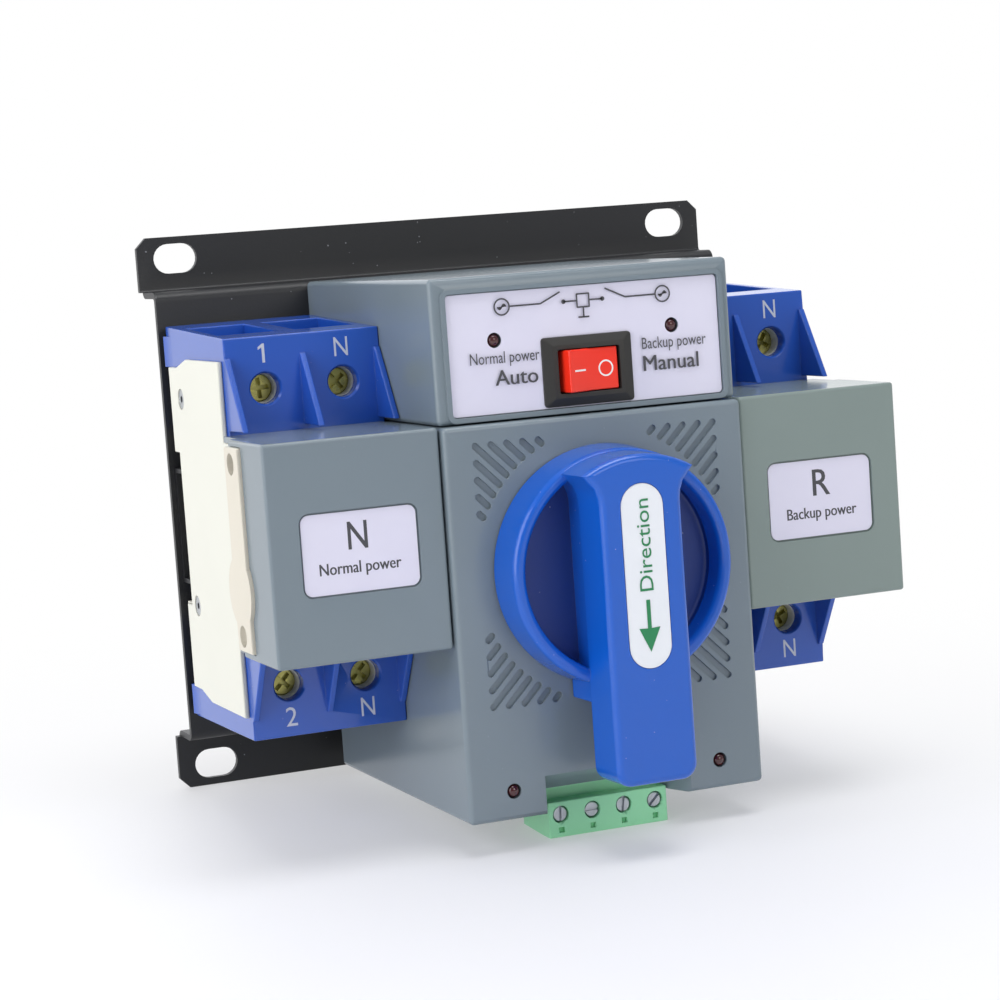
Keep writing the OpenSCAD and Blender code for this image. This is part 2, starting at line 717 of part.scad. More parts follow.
// one blue end of a breaker: cable pockets, screw wells, clamp spaces and barrier ribs,
// its outer face sloping up to the back and flared over its last few millimetres
rib_top = 4.5;
rib_low = 1.7;
module terminals(s, up) color(blue) side(s) breaker_end(up)
difference() {
    top = breaker_z + breaker_h / 2;
    low = breaker_z + shoulder_z;
    union() {
        along_x(-breaker_out, -breaker_in)
            polygon([[-shoulder_y, low], [-shoulder_y, top],
                     [-breaker_back, top + (up > 0 ? 2.3 : 0.7)], [-breaker_back, low]]);
        translate([0, 0, breaker_z + plate_end]) linear_extrude(breaker_h / 2 - plate_end)
            polygon([[-breaker_out, -17.4], [-breaker_out - 0.9, -breaker_back],
                     [-breaker_out + 1, -breaker_back]]);
        for (x = [breaker_out - 0.7, breaker_in + pole_w, breaker_in + 0.7])
            along_x(-x - 0.7, -x + 0.7)
                polygon([[-shoulder_y + 1, top - rib_top], [-shoulder_y - 0.6, top - rib_top],
                         [-70.5, low + rib_low], [-shoulder_y + 1, low + rib_low]]);
    }
    for (x = pole_xs) {
        block([-x - 6.9, -50, top - 9], [-x + 6.9, -24, top + 4]);
        block([-x - 6.2, -clamp_front - 0.2, low + 2], [-x + 6.2, -clamp_back + 0.2, top - 8]);
        rod_y(-x, breaker_z + screw_dz, well_d / 2, -shoulder_y - 1, -clamp_front);
        if (up < 0) block([-x - 5.4, -rail_y - 0.1, low - 1], [-x + 5.4, 0, top + 1]);
    }
    for (p = rivet_points) if (p[1] > nose_top && up > 0)
        rod_x(p[0], p[1], 1.3, -breaker_out - 1, -breaker_out + 7);
}

module clamps(s) color(steel) side(s)
for (up = [-1, 1], x = pole_xs) breaker_end(up) difference() {
    z = breaker_z + screw_dz;
    block([-x - 5.9, -clamp_front, z - 4.6], [-x + 5.9, -clamp_back, z + 4.6]);
    block([-x - 4.7, -clamp_front + 3, z - 6], [-x + 4.7, -clamp_back - 1.2, z + 6]);
    rod_y(-x, z, 2.25, -clamp_front - 1, -clamp_front + 4);
}

terminal_head = 54.6;
module terminal_screws(s) color(brass) side(s)
for (up = [-1, 1], x = pole_xs) breaker_end(up) difference() {
    z = breaker_z + screw_dz;
    union() {
        rod_y(-x, z, 3.1, -terminal_head, -51.8);
        rod_y(-x, z, 2.2, -51.8 - e, -clamp_front + 3.4);
    }
    translate([-x, -terminal_head, z]) rotate([0, 30, 0]) {
        block([-2.2, -1, -0.4], [2.2, 1.5, 0.4]);
        block([-0.4, -1, -2.2], [0.4, 1.5, 2.2]);
    }
}

// two levers on one pivot line, joined in front by the tie bar
module toggle(s) color(blue) side(s) {
    for (x = pole_xs) {
        difference() {
            rod_x(-toggle_y, breaker_z, 4.8, -x - 4, -x + 4);
            block([-x - 1, -toggle_y + 2, breaker_z - 1], [-x + 1, -toggle_y + 6, breaker_z + 1]);
        }
        rod_x(-toggle_y, breaker_z, 1.5, -x - 8.2, -x + 8.2);
        along_x(-x - 4, -x + 4) polygon([
            [-toggle_y - 3, breaker_z - 3.2], [-90.4, breaker_z - 2.3],
            [-90.4, breaker_z + 2.3], [-toggle_y - 3, breaker_z + 3.2]]);
    }
    rod_x(-toggle_y - toggle_r, breaker_z, tie_r, -pole_xs[1] - 6, -36.6);
}

module contact_arms(s) color(copper) side(s)
for (x = pole_xs) {
    rod_x(-contact_y, contact_z, 1, -x - 8.2, -x + 8.2);
    rod_x(-contact_y, contact_z, 2.6, -x - 2.5, -x + 2.5);
    block([-x - 2.5, -contact_y, contact_z - 1], [-x + 2.5, -contact_y + contact_len, contact_z + 1]);
    translate([-x, -contact_y + contact_len - 2.5, contact_z + 1 - e]) cylinder(r = 2, h = 0.8);
}

contact_lift = contact_len * sin(15);
module fixed_contacts(s) color(copper) side(s)
for (x = pole_xs) {
    z = contact_z + contact_lift + 2.4;
    block([-x - 3, -44, z], [-x + 3, -28, z + 1.5]);
    block([-x - 3, -29.5, z], [-x + 3, -28, breaker_z + 20.4]);
    translate([-x, -contact_y + contact_len - 2.5, z - 0.7]) cylinder(r = 2, h = 0.7 + e);
}

module arc_chutes(s) color([0.55, 0.56, 0.58]) side(s)
for (x = pole_xs) {
    for (k = [-1, 1])
        block([-x + k * 6.2 - 0.5, -36.6, breaker_z - 19.4], [-x + k * 6.2 + 0.5, -24, breaker_z - 1]);
    for (i = [0 : 7]) {
        z = breaker_z - 18.8 + i * 2.4;
        block([-x - 6, -34.6, z], [-x + 6, -24.6, z + 0.9]);
    }
}

module trip_coils(s) color(copper) side(s)
for (x = pole_xs) translate([-x, -49.5, breaker_z - 20]) difference() {
    union() {
        for (i = [0 : 5])
            translate([0, 0, 0.8 + i * 1.45]) rotate_extrude() translate([4.2, 0]) circle(0.7, $fn = 16);
        cylinder(r = 3.9, h = 9.6);
    }
    translate([0, 0, -1]) cylinder(r = 2.6, h = 12);
}

// sprung clips that hold a breaker behind the rail's lower edge
module rail_clips(s) color(blue) side(s)
for (x = pole_xs) difference() {
    low = breaker_z - breaker_h / 2;
    block([-x - 5, -rail_y + 1.3, low - 2], [-x + 5, -breaker_back - 0.4, breaker_z - 15.6]);
    block([-x - 2, -rail_y, low - 1.2], [-x + 2, -breaker_back + 1, low]);
}

// ---- toggle covers and paper labels ----

cover_in = casing_x + 0.4;
label_x = 54.9;
label_z = breaker_z - 0.9;
cheek_y = 70.3;
module toggle_cover(s) color(grey) side(s)
difference() {
    low = cover_z - cover_h / 2;
    high = cover_z + cover_h / 2;
    block([-cover_out, -cover_front, low], [-cover_in, -shoulder_y - 0.2, high]);
    block([-cover_out + cover_wall, -cover_front + cover_wall, low + cover_wall - 0.4],
          [-cover_in - 1, -shoulder_y + 1, high - cover_wall + 0.4]);
    block([-breaker_out - 0.2, -nose_y - 0.2, breaker_z - nose_h / 2 - 0.15],
          [-breaker_in + 0.2, -shoulder_y + 1, breaker_z + nose_h / 2 + 0.15]);
    along_x(-cover_out - 1, -breaker_out) nose_outline(0.2);
    block([-cover_out - 1, -cheek_y, low - 1], [-breaker_out - side_plate_t - 0.3, 0, high + 1]);
    arm_window(-cover_in);
    along_y(-cover_front - 1, -cover_front + 0.8) translate([-label_x, label_z]) rounded(26.5, 18, 2.2);
}

module power_labels() color(paper)
for (s = [-1, 1]) side(s)
    along_y(-cover_front + 0.4, -cover_front + 0.78) translate([-label_x, label_z]) rounded(25.7, 17.2, 1.8);

mounting_plate();
din_rail(-1);  // n_din_rail
din_rail(1);  // r_din_rail
drive_casing();
control_box();
control_label();
rocker_housing();
rocker();
upper_lamps();
lower_lamps();
handle();
handle_label();
drive_shaft();
shaft_bushes();
drive_gear();
rack_pinion();
limit_cam();
rack_guide();
gear_plate();
limit_switches();
motor_body();
motor_pinion();
rack(-1);  // n_rack
rack(1);  // r_rack
control_board();
relays();
transformer();
terminal_header();
control_plug();
plug_screws();
case_screws();
breaker_case(-1);  // n_breaker_case
breaker_case(1);  // r_breaker_case
side_plate(-1);  // n_side_plate
side_plate(1);  // r_side_plate
terminals(-1, 1);  // n_upper_terminals
terminals(1, 1);  // r_upper_terminals
terminals(-1, -1);  // n_lower_terminals
terminals(1, -1);  // r_lower_terminals
clamps(-1);  // n_clamps
clamps(1);  // r_clamps
terminal_screws(-1);  // n_terminal_screws
terminal_screws(1);  // r_terminal_screws
toggle(-1);  // n_toggle
toggle(1);  // r_toggle
contact_arms(-1);  // n_contact_arms
contact_arms(1);  // r_contact_arms
fixed_contacts(-1);  // n_fixed_contacts
fixed_contacts(1);  // r_fixed_contacts
arc_chutes(-1);  // n_arc_chutes
arc_chutes(1);  // r_arc_chutes
trip_coils(-1);  // n_trip_coils
trip_coils(1);  // r_trip_coils
rail_clips(-1);  // n_rail_clips
rail_clips(1);  // r_rail_clips
rivets(-1);  // n_rivets
rivets(1);  // r_rivets
toggle_cover(-1);  // n_toggle_cover
toggle_cover(1);  // r_toggle_cover
power_labels();
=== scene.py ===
# Looks of a two-breaker transfer switch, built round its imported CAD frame.
# Lengths are metres, and mm() turns a point given in millimetres into metres.
import math

import bmesh
import bpy
from mathutils import Matrix, Vector


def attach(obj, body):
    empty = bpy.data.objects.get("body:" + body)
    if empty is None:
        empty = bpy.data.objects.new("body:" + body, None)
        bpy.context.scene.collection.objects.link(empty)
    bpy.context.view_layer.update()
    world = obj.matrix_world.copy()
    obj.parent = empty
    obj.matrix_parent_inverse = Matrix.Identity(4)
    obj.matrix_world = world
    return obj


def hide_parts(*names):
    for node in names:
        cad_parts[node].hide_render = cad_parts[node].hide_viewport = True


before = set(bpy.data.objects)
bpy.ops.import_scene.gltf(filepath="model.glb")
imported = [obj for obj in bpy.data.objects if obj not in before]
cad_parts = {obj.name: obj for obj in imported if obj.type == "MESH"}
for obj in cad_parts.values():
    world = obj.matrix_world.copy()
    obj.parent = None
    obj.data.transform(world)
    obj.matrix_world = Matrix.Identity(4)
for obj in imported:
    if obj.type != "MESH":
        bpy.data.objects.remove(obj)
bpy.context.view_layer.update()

# ---- studio ----
# White paper under the switch, a big soft box on the left, a smaller one overhead, a weak
# one in front, and a camera a little above the handle, turned to the left.


def mm(*values):
    return Vector(values) * 0.001


def tint(hex_code, alpha=1.0):
    parts = [int(hex_code[i:i + 2], 16) / 255 for i in (1, 3, 5)]
    linear = [c / 12.92 if c <= 0.04045 else ((c + 0.055) / 1.055) ** 2.4 for c in parts]
    return (*linear, alpha)


def add(tree, kind, settings=None, inputs=None):
    node = tree.nodes.new(kind)
    for name, value in (settings or {}).items():
        setattr(node, name, value)
    for name, value in (inputs or {}).items():
        if isinstance(value, bpy.types.NodeSocket):
            tree.links.new(value, node.inputs[name])
        else:
            node.inputs[name].default_value = value
    return node


def start_material(name):
    material = bpy.data.materials.new(name)
    material.use_nodes = True
    material.node_tree.nodes.clear()
    return material, material.node_tree


def close_material(material, tree, shader):
    add(tree, "ShaderNodeOutputMaterial", None, {"Surface": shader.outputs[0]})
    return material


scene = bpy.context.scene
scene.view_settings.view_transform = "Standard"

azimuth, elevation, roll = (math.radians(a) for a in (-21.651, 5.797, -4.057))
back = Vector((math.sin(azimuth) * math.cos(elevation),
               -math.cos(azimuth) * math.cos(elevation), math.sin(elevation)))
level_right = Vector((0, 0, 1)).cross(back).normalized()
level_up = back.cross(level_right)
right = level_right * math.cos(roll) + level_up * math.sin(roll)
up = level_up * math.cos(roll) - level_right * math.sin(roll)
lens = bpy.data.cameras.new("camera")
lens.lens = 99.75
lens.sensor_width = 36.0
lens.clip_start = 0.01
camera = bpy.data.objects.new("camera", lens)
camera.matrix_world = Matrix.Translation(mm(-240.86, -643.94, 65.08)) @ Matrix(
    (right, up, back)).transposed().to_4x4()
scene.collection.objects.link(camera)
scene.camera = camera

# matt white paper: no gloss, so it only takes the soft shadow. Away from a point in front
# of the switch it is lit from below until it is pure white, as on a light table
paper, tree = start_material("white_paper")
where = add(tree, "ShaderNodeTexCoord")
fibres = add(tree, "ShaderNodeTexNoise", None, {
    "Vector": where.outputs["Object"], "Scale": 9.0, "Detail": 4.0})
shade = add(tree, "ShaderNodeMix", {"data_type": "RGBA"}, {
    0: fibres.outputs["Fac"], 6: tint("#ebebee"), 7: tint("#f0f0f3")})
sheet = add(tree, "ShaderNodeBsdfPrincipled", None, {
    "Base Color": shade.outputs[2], "Roughness": 0.55, "Specular IOR Level": 0.25})
away = add(tree, "ShaderNodeVectorMath", {"operation": "DISTANCE"}, {
    0: where.outputs["Object"], 1: mm(-100, -330, 0)})
fade = add(tree, "ShaderNodeMapRange", {"interpolation_type": "SMOOTHSTEP"}, {
    "Value": away.outputs["Value"], "From Min": 0.13, "From Max": 0.54})
glow = add(tree, "ShaderNodeEmission", None, {"Color": tint("#ffffff"), "Strength": 1.0})
lit_sheet = add(tree, "ShaderNodeMixShader", None, {
    0: fade.outputs[0], 1: sheet.outputs[0], 2: glow.outputs[0]})
close_material(paper, tree, lit_sheet)

# the switch leans back a little: it stands on its plug and on the plate's lower edge
lean = math.atan2(71.4 - 66.2, 89.0)
bm = bmesh.new()
bmesh.ops.create_grid(bm, x_segments=2, y_segments=2, size=4.0)
bm.transform(Matrix.Translation(mm(0, 0, -66.25)) @ Matrix.Rotation(lean, 4, "X"))
mesh = bpy.data.meshes.new("paper_floor")
bm.to_mesh(mesh)
bm.free()
mesh.materials.append(paper)
floor = bpy.data.objects.new("paper_floor", mesh)
scene.collection.objects.link(floor)

world = bpy.data.worlds.new("white_room")
world.use_nodes = True
tree = world.node_tree
tree.nodes.clear()
seen = add(tree, "ShaderNodeLightPath")
# bright walls beyond the switch, a dim room on the camera's side
way = add(tree, "ShaderNodeTexCoord")
parts = add(tree, "ShaderNodeSeparateXYZ", None, {0: way.outputs["Generated"]})
level = add(tree, "ShaderNodeValToRGB", None, {0: add(tree, "ShaderNodeMapRange", None, {
    "Value": parts.outputs["Y"], "From Min": -1.0, "From Max": 1.0}).outputs[0]})
level.color_ramp.elements[0].color = (0.27, 0.28, 0.31, 1.0)
level.color_ramp.elements[1].color = (1.3, 1.31, 1.34, 1.0)
middle = level.color_ramp.elements.new(0.55)
middle.color = (0.52, 0.53, 0.55, 1.0)
dim = add(tree, "ShaderNodeBackground", None, {"Color": level.outputs[0], "Strength": 1.0})
bright = add(tree, "ShaderNodeBackground", None, {"Color": tint("#ffffff"), "Strength": 1.0})
both = add(tree, "ShaderNodeMixShader", None, {
    0: seen.outputs["Is Camera Ray"], 1: dim.outputs[0], 2: bright.outputs[0]})
add(tree, "ShaderNodeOutputWorld", None, {"Surface": both.outputs[0]})
scene.world = world


def soft_box(name, at, aim, width, height, watts, colour):
    light = bpy.data.lights.new(name, "AREA")
    light.shape = "RECTANGLE"
    light.size, light.size_y = width, height
    light.energy = watts
    light.color = tint(colour)[:3]
    lamp = bpy.data.objects.new(name, light)
    lamp.location = at
    lamp.rotation_euler = (Vector(aim) - Vector(at)).to_track_quat("-Z", "Y").to_euler()
    scene.collection.objects.link(lamp)


soft_box("left_box", (-0.95, -0.35, 0.32), (0, -0.03, 0), 0.75, 0.9, 6.2, "#fdfcff")
soft_box("top_box", (0.1, -0.35, 1.1), (0, -0.05, 0), 0.7, 0.5, 6.2, "#ffffff")
soft_box("front_box", (0.35, -1.3, 0.5), (0, -0.05, 0), 0.6, 0.6, 2.9, "#fffdf8")


# ---- folded steel plate ----
# One 1.5 mm steel sheet, folded twice at each end so that its middle stands off the
# wall, with four slots for the wall screws. Black powder coat over the whole sheet.


def powder_coat(name, base, worn):
    # satin polyester powder: fine orange peel about 0.6 mm across, grey dust lying on it
    material, tree = start_material(name)
    where = add(tree, "ShaderNodeTexCoord").outputs["Object"]
    cloud = add(tree, "ShaderNodeTexNoise", None, {"Vector": where, "Scale": 35.0, "Detail": 3.0})
    tone = add(tree, "ShaderNodeMix", {"data_type": "RGBA"}, {
        0: cloud.outputs["Fac"], 6: tint(base), 7: tint(worn)})
    dust = add(tree, "ShaderNodeTexVoronoi", None, {"Vector": where, "Scale": 420.0})
    patch = add(tree, "ShaderNodeTexNoise", None, {"Vector": where, "Scale": 60.0, "Detail": 5.0})
    limit = add(tree, "ShaderNodeMapRange", None, {
        "Value": patch.outputs["Fac"], "From Min": 0.45, "From Max": 0.75,
        "To Min": 0.0, "To Max": 0.13})
    speck = add(tree, "ShaderNodeMath", {"operation": "LESS_THAN"}, {
        0: dust.outputs["Distance"], 1: limit.outputs[0]})
    dusty = add(tree, "ShaderNodeMix", {"data_type": "RGBA"}, {
        0: speck.outputs[0], 6: tone.outputs[2], 7: tint("#7b7c80")})
    peel = add(tree, "ShaderNodeTexNoise", None, {"Vector": where, "Scale": 1500.0, "Detail": 2.0})
    bump = add(tree, "ShaderNodeBump", None, {
        "Height": peel.outputs["Fac"], "Strength": 0.35, "Distance": 0.00006})
    gloss = add(tree, "ShaderNodeMapRange", None, {
        "Value": cloud.outputs["Fac"], "To Min": 0.36, "To Max": 0.5})
    shader = add(tree, "ShaderNodeBsdfPrincipled", None, {
        "Base Color": dusty.outputs[2], "Roughness": gloss.outputs[0],
        "Specular IOR Level": 0.45, "Normal": bump.outputs["Normal"]})
    return close_material(material, tree, shader)


def piece(name, bm, material, body, node=None, smooth=35.0):
    # a finished mesh: smooth within its faces, crisp at its edges, riding on its body
    bmesh.ops.dissolve_limit(bm, angle_limit=math.radians(0.4), verts=bm.verts, edges=bm.edges)
    bmesh.ops.recalc_face_normals(bm, faces=bm.faces)
    mesh = bpy.data.meshes.new(name)
    bm.to_mesh(mesh)
    bm.free()
    mesh.materials.clear()
    mesh.materials.append(material)
    mesh.shade_smooth()
    mesh.set_sharp_from_angle(angle=math.radians(smooth))
    obj = bpy.data.objects.new(name, mesh)
    scene.collection.objects.link(obj)
    even = obj.modifiers.new("even_normals", "WEIGHTED_NORMAL")
    even.keep_sharp = True
    even.weight = 100
    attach(obj, body)
    if node:
        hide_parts(*([node] if isinstance(node, str) else node))
    return obj


def merged(bm_a, bm_b, operation):
    # joins, cuts or intersects two closed meshes and gives the result as one
    made = []
    for bm in (bm_a, bm_b):
        bmesh.ops.recalc_face_normals(bm, faces=bm.faces)
        mesh = bpy.data.meshes.new("working")
        bm.to_mesh(mesh)
        bm.free()
        obj = bpy.data.objects.new("working", mesh)
        scene.collection.objects.link(obj)
        made.append(obj)
    change = made[0].modifiers.new("change", "BOOLEAN")
    change.operation = operation
    change.solver = "EXACT"
    change.object = made[1]
    bpy.context.view_layer.update()
    result = bpy.data.meshes.new_from_object(
        made[0].evaluated_get(bpy.context.evaluated_depsgraph_get()))
    bm = bmesh.new()
    bm.from_mesh(result)
    bmesh.ops.remove_doubles(bm, verts=bm.verts, dist=2e-6)
    for obj in made:
        bpy.data.meshes.remove(obj.data)
    bpy.data.meshes.remove(result)
    return bm


def swept(points, x_low, x_high):
    # a closed outline in Y and Z, made solid from x_low to x_high
    bm = bmesh.new()
    ends = [[bm.verts.new(mm(x, y, z)) for y, z in points] for x in (x_low, x_high)]
    for ring in ends:
        bm.faces.new(ring)
    for i in range(len(points)):
        j = (i + 1) % len(points)
        bm.faces.new((ends[0][i], ends[0][j], ends[1][j], ends[1][i]))
    bmesh.ops.recalc_face_normals(bm, faces=bm.faces)
    return bm


def raised(points, y_front, y_back):
    # a closed outline in X and Z, made solid from y_front to y_back
    bm = bmesh.new()
    ends = [[bm.verts.new(mm(x, y, z)) for x, z in points] for y in (y_front, y_back)]
    for ring in ends:
        bm.faces.new(ring)
    for i in range(len(points)):
        j = (i + 1) % len(points)
        bm.faces.new((ends[0][i], ends[0][j], ends[1][j], ends[1][i]))
    bmesh.ops.recalc_face_normals(bm, faces=bm.faces)
    return bm


def arc(cx, cz, radius, start, end, steps):
    return [(cx + radius * math.cos(math.radians(start + (end - start) * i / steps)),
             cz + radius * math.sin(math.radians(start + (end - start) * i / steps)))
            for i in range(steps + 1)]


def pill(cx, cz, length, width, steps=12):
    # a slot with round ends along X
    half, r = (length - width) / 2, width / 2
    return arc(cx + half, cz, r, -90, 90, steps) + arc(cx - half, cz, r, 90, 270, steps)


def round_rect(cx, cz, w, h, r, steps=6):
    a, b = w / 2 - r, h / 2 - r
    return (arc(cx + a, cz + b, r, 0, 90, steps) + arc(cx - a, cz + b, r, 90, 180, steps)
            + arc(cx - a, cz - b, r, 180, 270, steps) + arc(cx + a, cz - b, r, 270, 360, steps))


# the sheet's section: outer and inner lines with a 0.8 mm inner bend radius
flange_z, step_z, sheet_t, panel_y = 66.2, 53.4, 1.5, 11.5
inner_r = 0.8
outer_r = inner_r + sheet_t
wall_side = [(0, flange_z)]
wall_side += [(y, z) for y, z in arc(-outer_r, step_z - sheet_t + outer_r, outer_r, 0, -90, 5)]
wall_side += [(y, z) for y, z in arc(-panel_y + sheet_t + inner_r, step_z - sheet_t - inner_r,
                                     inner_r, 90, 180, 4)]
front_side = [(-sheet_t, flange_z)]
front_side += [(y, z) for y, z in arc(-sheet_t - inner_r, step_z + inner_r, inner_r, 0, -90, 4)]
front_side += [(y, z) for y, z in arc(-panel_y + outer_r, step_z - outer_r, outer_r, 90, 180, 5)]
section = (front_side + [(y, -z) for y, z in reversed(front_side)]
           + [(y, -z) for y, z in wall_side] + list(reversed(wall_side)))
plate = swept(section, -73.7, 73.7)
for side in (-1, 1):
    # the middle is 1 mm narrower at each side than the flanges
    x = sorted((side * 72.7, side * 80))
    trim = raised([(x[0], -step_z), (x[1], -step_z), (x[1], step_z), (x[0], step_z)], -20, 5)
    plate = merged(plate, trim, "DIFFERENCE")
    for end in (-1, 1):
        corner = [(side * 73.8, end * (flange_z - 2.5)), (side * 71.2, end * (flange_z + 0.1)),
                  (side * 76, end * 70)]
        plate = merged(plate, raised(corner, -5, 3), "DIFFERENCE")
        slot_cut = raised(pill(side * 64.4, end * 61, 10.6, 7), -5, 3)
        plate = merged(plate, slot_cut, "DIFFERENCE")
black_coat = powder_coat("black_powder_coat", "#1b1c1e", "#232427")
steel_plate = piece("steel_plate", plate, black_coat, "frame", "mounting_plate", 30)
crisp = steel_plate.modifiers.new("broken_edges", "BEVEL")
crisp.width, crisp.segments, crisp.limit_method = 0.0002, 2, "ANGLE"
crisp.angle_limit = math.radians(50)


# ---- rails and fixing screws ----
# Two short lengths of 35 mm top-hat rail, coated with the plate, and pan-head screws in
# bright zinc plated steel that hold the rails, the boxes and the gear plate.


def plated_steel(name, base, darker, roughness, metallic=1.0):
    # electroplated zinc or yellow zinc: soft clouding 2 to 6 mm across, faint drawing lines
    material, tree = start_material(name)
    where = add(tree, "ShaderNodeTexCoord").outputs["Object"]
    cloud = add(tree, "ShaderNodeTexNoise", None, {"Vector": where, "Scale": 260.0, "Detail": 4.0})
    tone = add(tree, "ShaderNodeMix", {"data_type": "RGBA"}, {
        0: cloud.outputs["Fac"], 6: tint(base), 7: tint(darker)})
    lines = add(tree, "ShaderNodeTexNoise", None, {"Vector": where, "Scale": 2600.0, "Detail": 1.0})
    bump = add(tree, "ShaderNodeBump", None, {
        "Height": lines.outputs["Fac"], "Strength": 0.25, "Distance": 0.00004})
    gloss = add(tree, "ShaderNodeMapRange", None, {
        "Value": cloud.outputs["Fac"], "To Min": roughness - 0.07, "To Max": roughness + 0.1})
    shader = add(tree, "ShaderNodeBsdfPrincipled", None, {
        "Base Color": tone.outputs[2], "Metallic": metallic, "Roughness": gloss.outputs[0],
        "Normal": bump.outputs["Normal"]})
    return close_material(material, tree, shader)


def finish(material, *nodes):
    for name in nodes:
        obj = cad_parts[name]
        if not obj.material_slots:
            obj.data.materials.append(material)
        for holder in obj.material_slots:
            holder.material = material


bright_zinc = plated_steel("bright_zinc_steel", "#c4c8cc", "#a2a6ab", 0.3)
finish(bright_zinc, "case_screws", "gear_plate")
finish(black_coat, "n_din_rail", "r_din_rail")


# ---- middle boxes ----
# Two injection-moulded grey ABS boxes, the geared drive's below and the control board's
# above, with a fine seam between them. Edges are moulded with a radius of about 1 mm.


def moulded_plastic(name, base, second, rough, grain, edge, dust=0.0, coat=0.0):
    # a moulded thermoplastic: slight flow shading, fine spark texture, a soft broken edge
    material, tree = start_material(name)
    where = add(tree, "ShaderNodeTexCoord").outputs["Object"]
    flow = add(tree, "ShaderNodeTexNoise", None, {"Vector": where, "Scale": 28.0, "Detail": 3.0})
    tone = add(tree, "ShaderNodeMix", {"data_type": "RGBA"}, {
        0: flow.outputs["Fac"], 6: tint(base), 7: tint(second)})
    colour = tone.outputs[2]
    if dust:
        specks = add(tree, "ShaderNodeTexVoronoi", None, {"Vector": where, "Scale": 300.0})
        near = add(tree, "ShaderNodeMath", {"operation": "LESS_THAN"}, {
            0: specks.outputs["Distance"], 1: dust})
        faint = add(tree, "ShaderNodeMath", {"operation": "MULTIPLY"}, {0: near.outputs[0], 1: 0.4})
        colour = add(tree, "ShaderNodeMix", {"data_type": "RGBA"}, {
            0: faint.outputs[0], 6: colour, 7: tint("#e8eaee")}).outputs[2]
    texture = add(tree, "ShaderNodeTexNoise", None, {
        "Vector": where, "Scale": 1.0 / grain, "Detail": 2.0, "Roughness": 0.6})
    rounded = add(tree, "ShaderNodeBevel", {"samples": 4}, {"Radius": edge})
    bump = add(tree, "ShaderNodeBump", None, {
        "Height": texture.outputs["Fac"], "Strength": 0.22, "Distance": 0.00005,
        "Normal": rounded.outputs[0]})
    gloss = add(tree, "ShaderNodeMapRange", None, {
        "Value": flow.outputs["Fac"], "To Min": rough - 0.05, "To Max": rough + 0.06})
    shader = add(tree, "ShaderNodeBsdfPrincipled", None, {
        "Base Color": colour, "Roughness": gloss.outputs[0], "IOR": 1.5,
        "Coat Weight": coat, "Coat Roughness": 0.08, "Normal": bump.outputs["Normal"]})
    return close_material(material, tree, shader)


def cad_copy(node):
    # the CAD shape as one closed mesh, its triangles joined into whole faces
    bm = bmesh.new()
    bm.from_mesh(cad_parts[node].data)
    bmesh.ops.remove_doubles(bm, verts=bm.verts, dist=1e-6)
    return bm


def soften(bm, width, shortest, steps=3, chosen=None):
    # rounds the long outer edges of a shape and leaves its holes alone
    bmesh.ops.dissolve_limit(bm, angle_limit=math.radians(0.6), verts=bm.verts, edges=bm.edges)
    long_edges = [e for e in bm.edges if e.is_manifold and e.is_convex
                  and e.calc_length() > shortest * 0.001 and e.calc_face_angle(0) > 0.6
                  and (chosen is None or chosen(e))]
    bmesh.ops.bevel(bm, geom=long_edges, offset=width * 0.001, offset_type="OFFSET",
                    segments=steps, profile=0.5, affect="EDGES", clamp_overlap=True)
    return bm


def round_block(low, high, radius, steps=4):
    bm = bmesh.new()
    bmesh.ops.create_cube(bm, size=1.0)
    low, high = mm(*low), mm(*high)
    for v in bm.verts:
        v.co = Vector(((low[i] + high[i]) / 2 + v.co[i] * (high[i] - low[i])) for i in range(3))
    bmesh.ops.bevel(bm, geom=bm.edges[:], offset=radius * 0.001, offset_type="OFFSET",
                    segments=steps, profile=0.5, affect="EDGES", clamp_overlap=False)
    return bm


grey_abs = moulded_plastic("grey_moulded_abs", "#75828a", "#7b8890", 0.2, 0.0005, 0.00025, 0.018)
casing = merged(cad_copy("drive_casing"),
                round_block((-35.3, -96, -64.3), (35.3, 5, 21.7), 1.1), "INTERSECT")
piece("drive_casing_moulding", casing, grey_abs, "frame", "drive_casing")
box = merged(cad_copy("control_box"),
             round_block((-35.3, -93.6, 21.9), (35.3, 5, 53.2), 1.1), "INTERSECT")
# a raised rim, 1 mm wide, frames the label's pocket
rim_outer = raised(round_rect(0.3, 36.45, 66.6, 28.6, 1.8), -94.1, -93.2)
rim = merged(rim_outer, raised(round_rect(0.3, 36.45, 64.4, 26.4, 1.0), -95, -92), "DIFFERENCE")
box = merged(box, rim, "UNION")
piece("control_box_moulding", box, grey_abs, "frame", "control_box")


# ---- control label and its print ----
# A satin film label in a shallow pocket, screen printed in dark grey: the two supplies
# beside their lamps, the two modes beside the rocker and a changeover symbol above.


def printed_film(name, base, second):
    # matt laminated film: faint lavender white with a slight unevenness from its glue
    material, tree = start_material(name)
    where = add(tree, "ShaderNodeTexCoord").outputs["Object"]
    glue = add(tree, "ShaderNodeTexNoise", None, {"Vector": where, "Scale": 110.0, "Detail": 2.0})
    tone = add(tree, "ShaderNodeMix", {"data_type": "RGBA"}, {
        0: glue.outputs["Fac"], 6: tint(base), 7: tint(second)})
    bump = add(tree, "ShaderNodeBump", None, {
        "Height": glue.outputs["Fac"], "Strength": 0.2, "Distance": 0.00004})
    shader = add(tree, "ShaderNodeBsdfPrincipled", None, {
        "Base Color": tone.outputs[2], "Roughness": 0.42, "IOR": 1.48,
        "Normal": bump.outputs["Normal"]})
    return close_material(material, tree, shader)


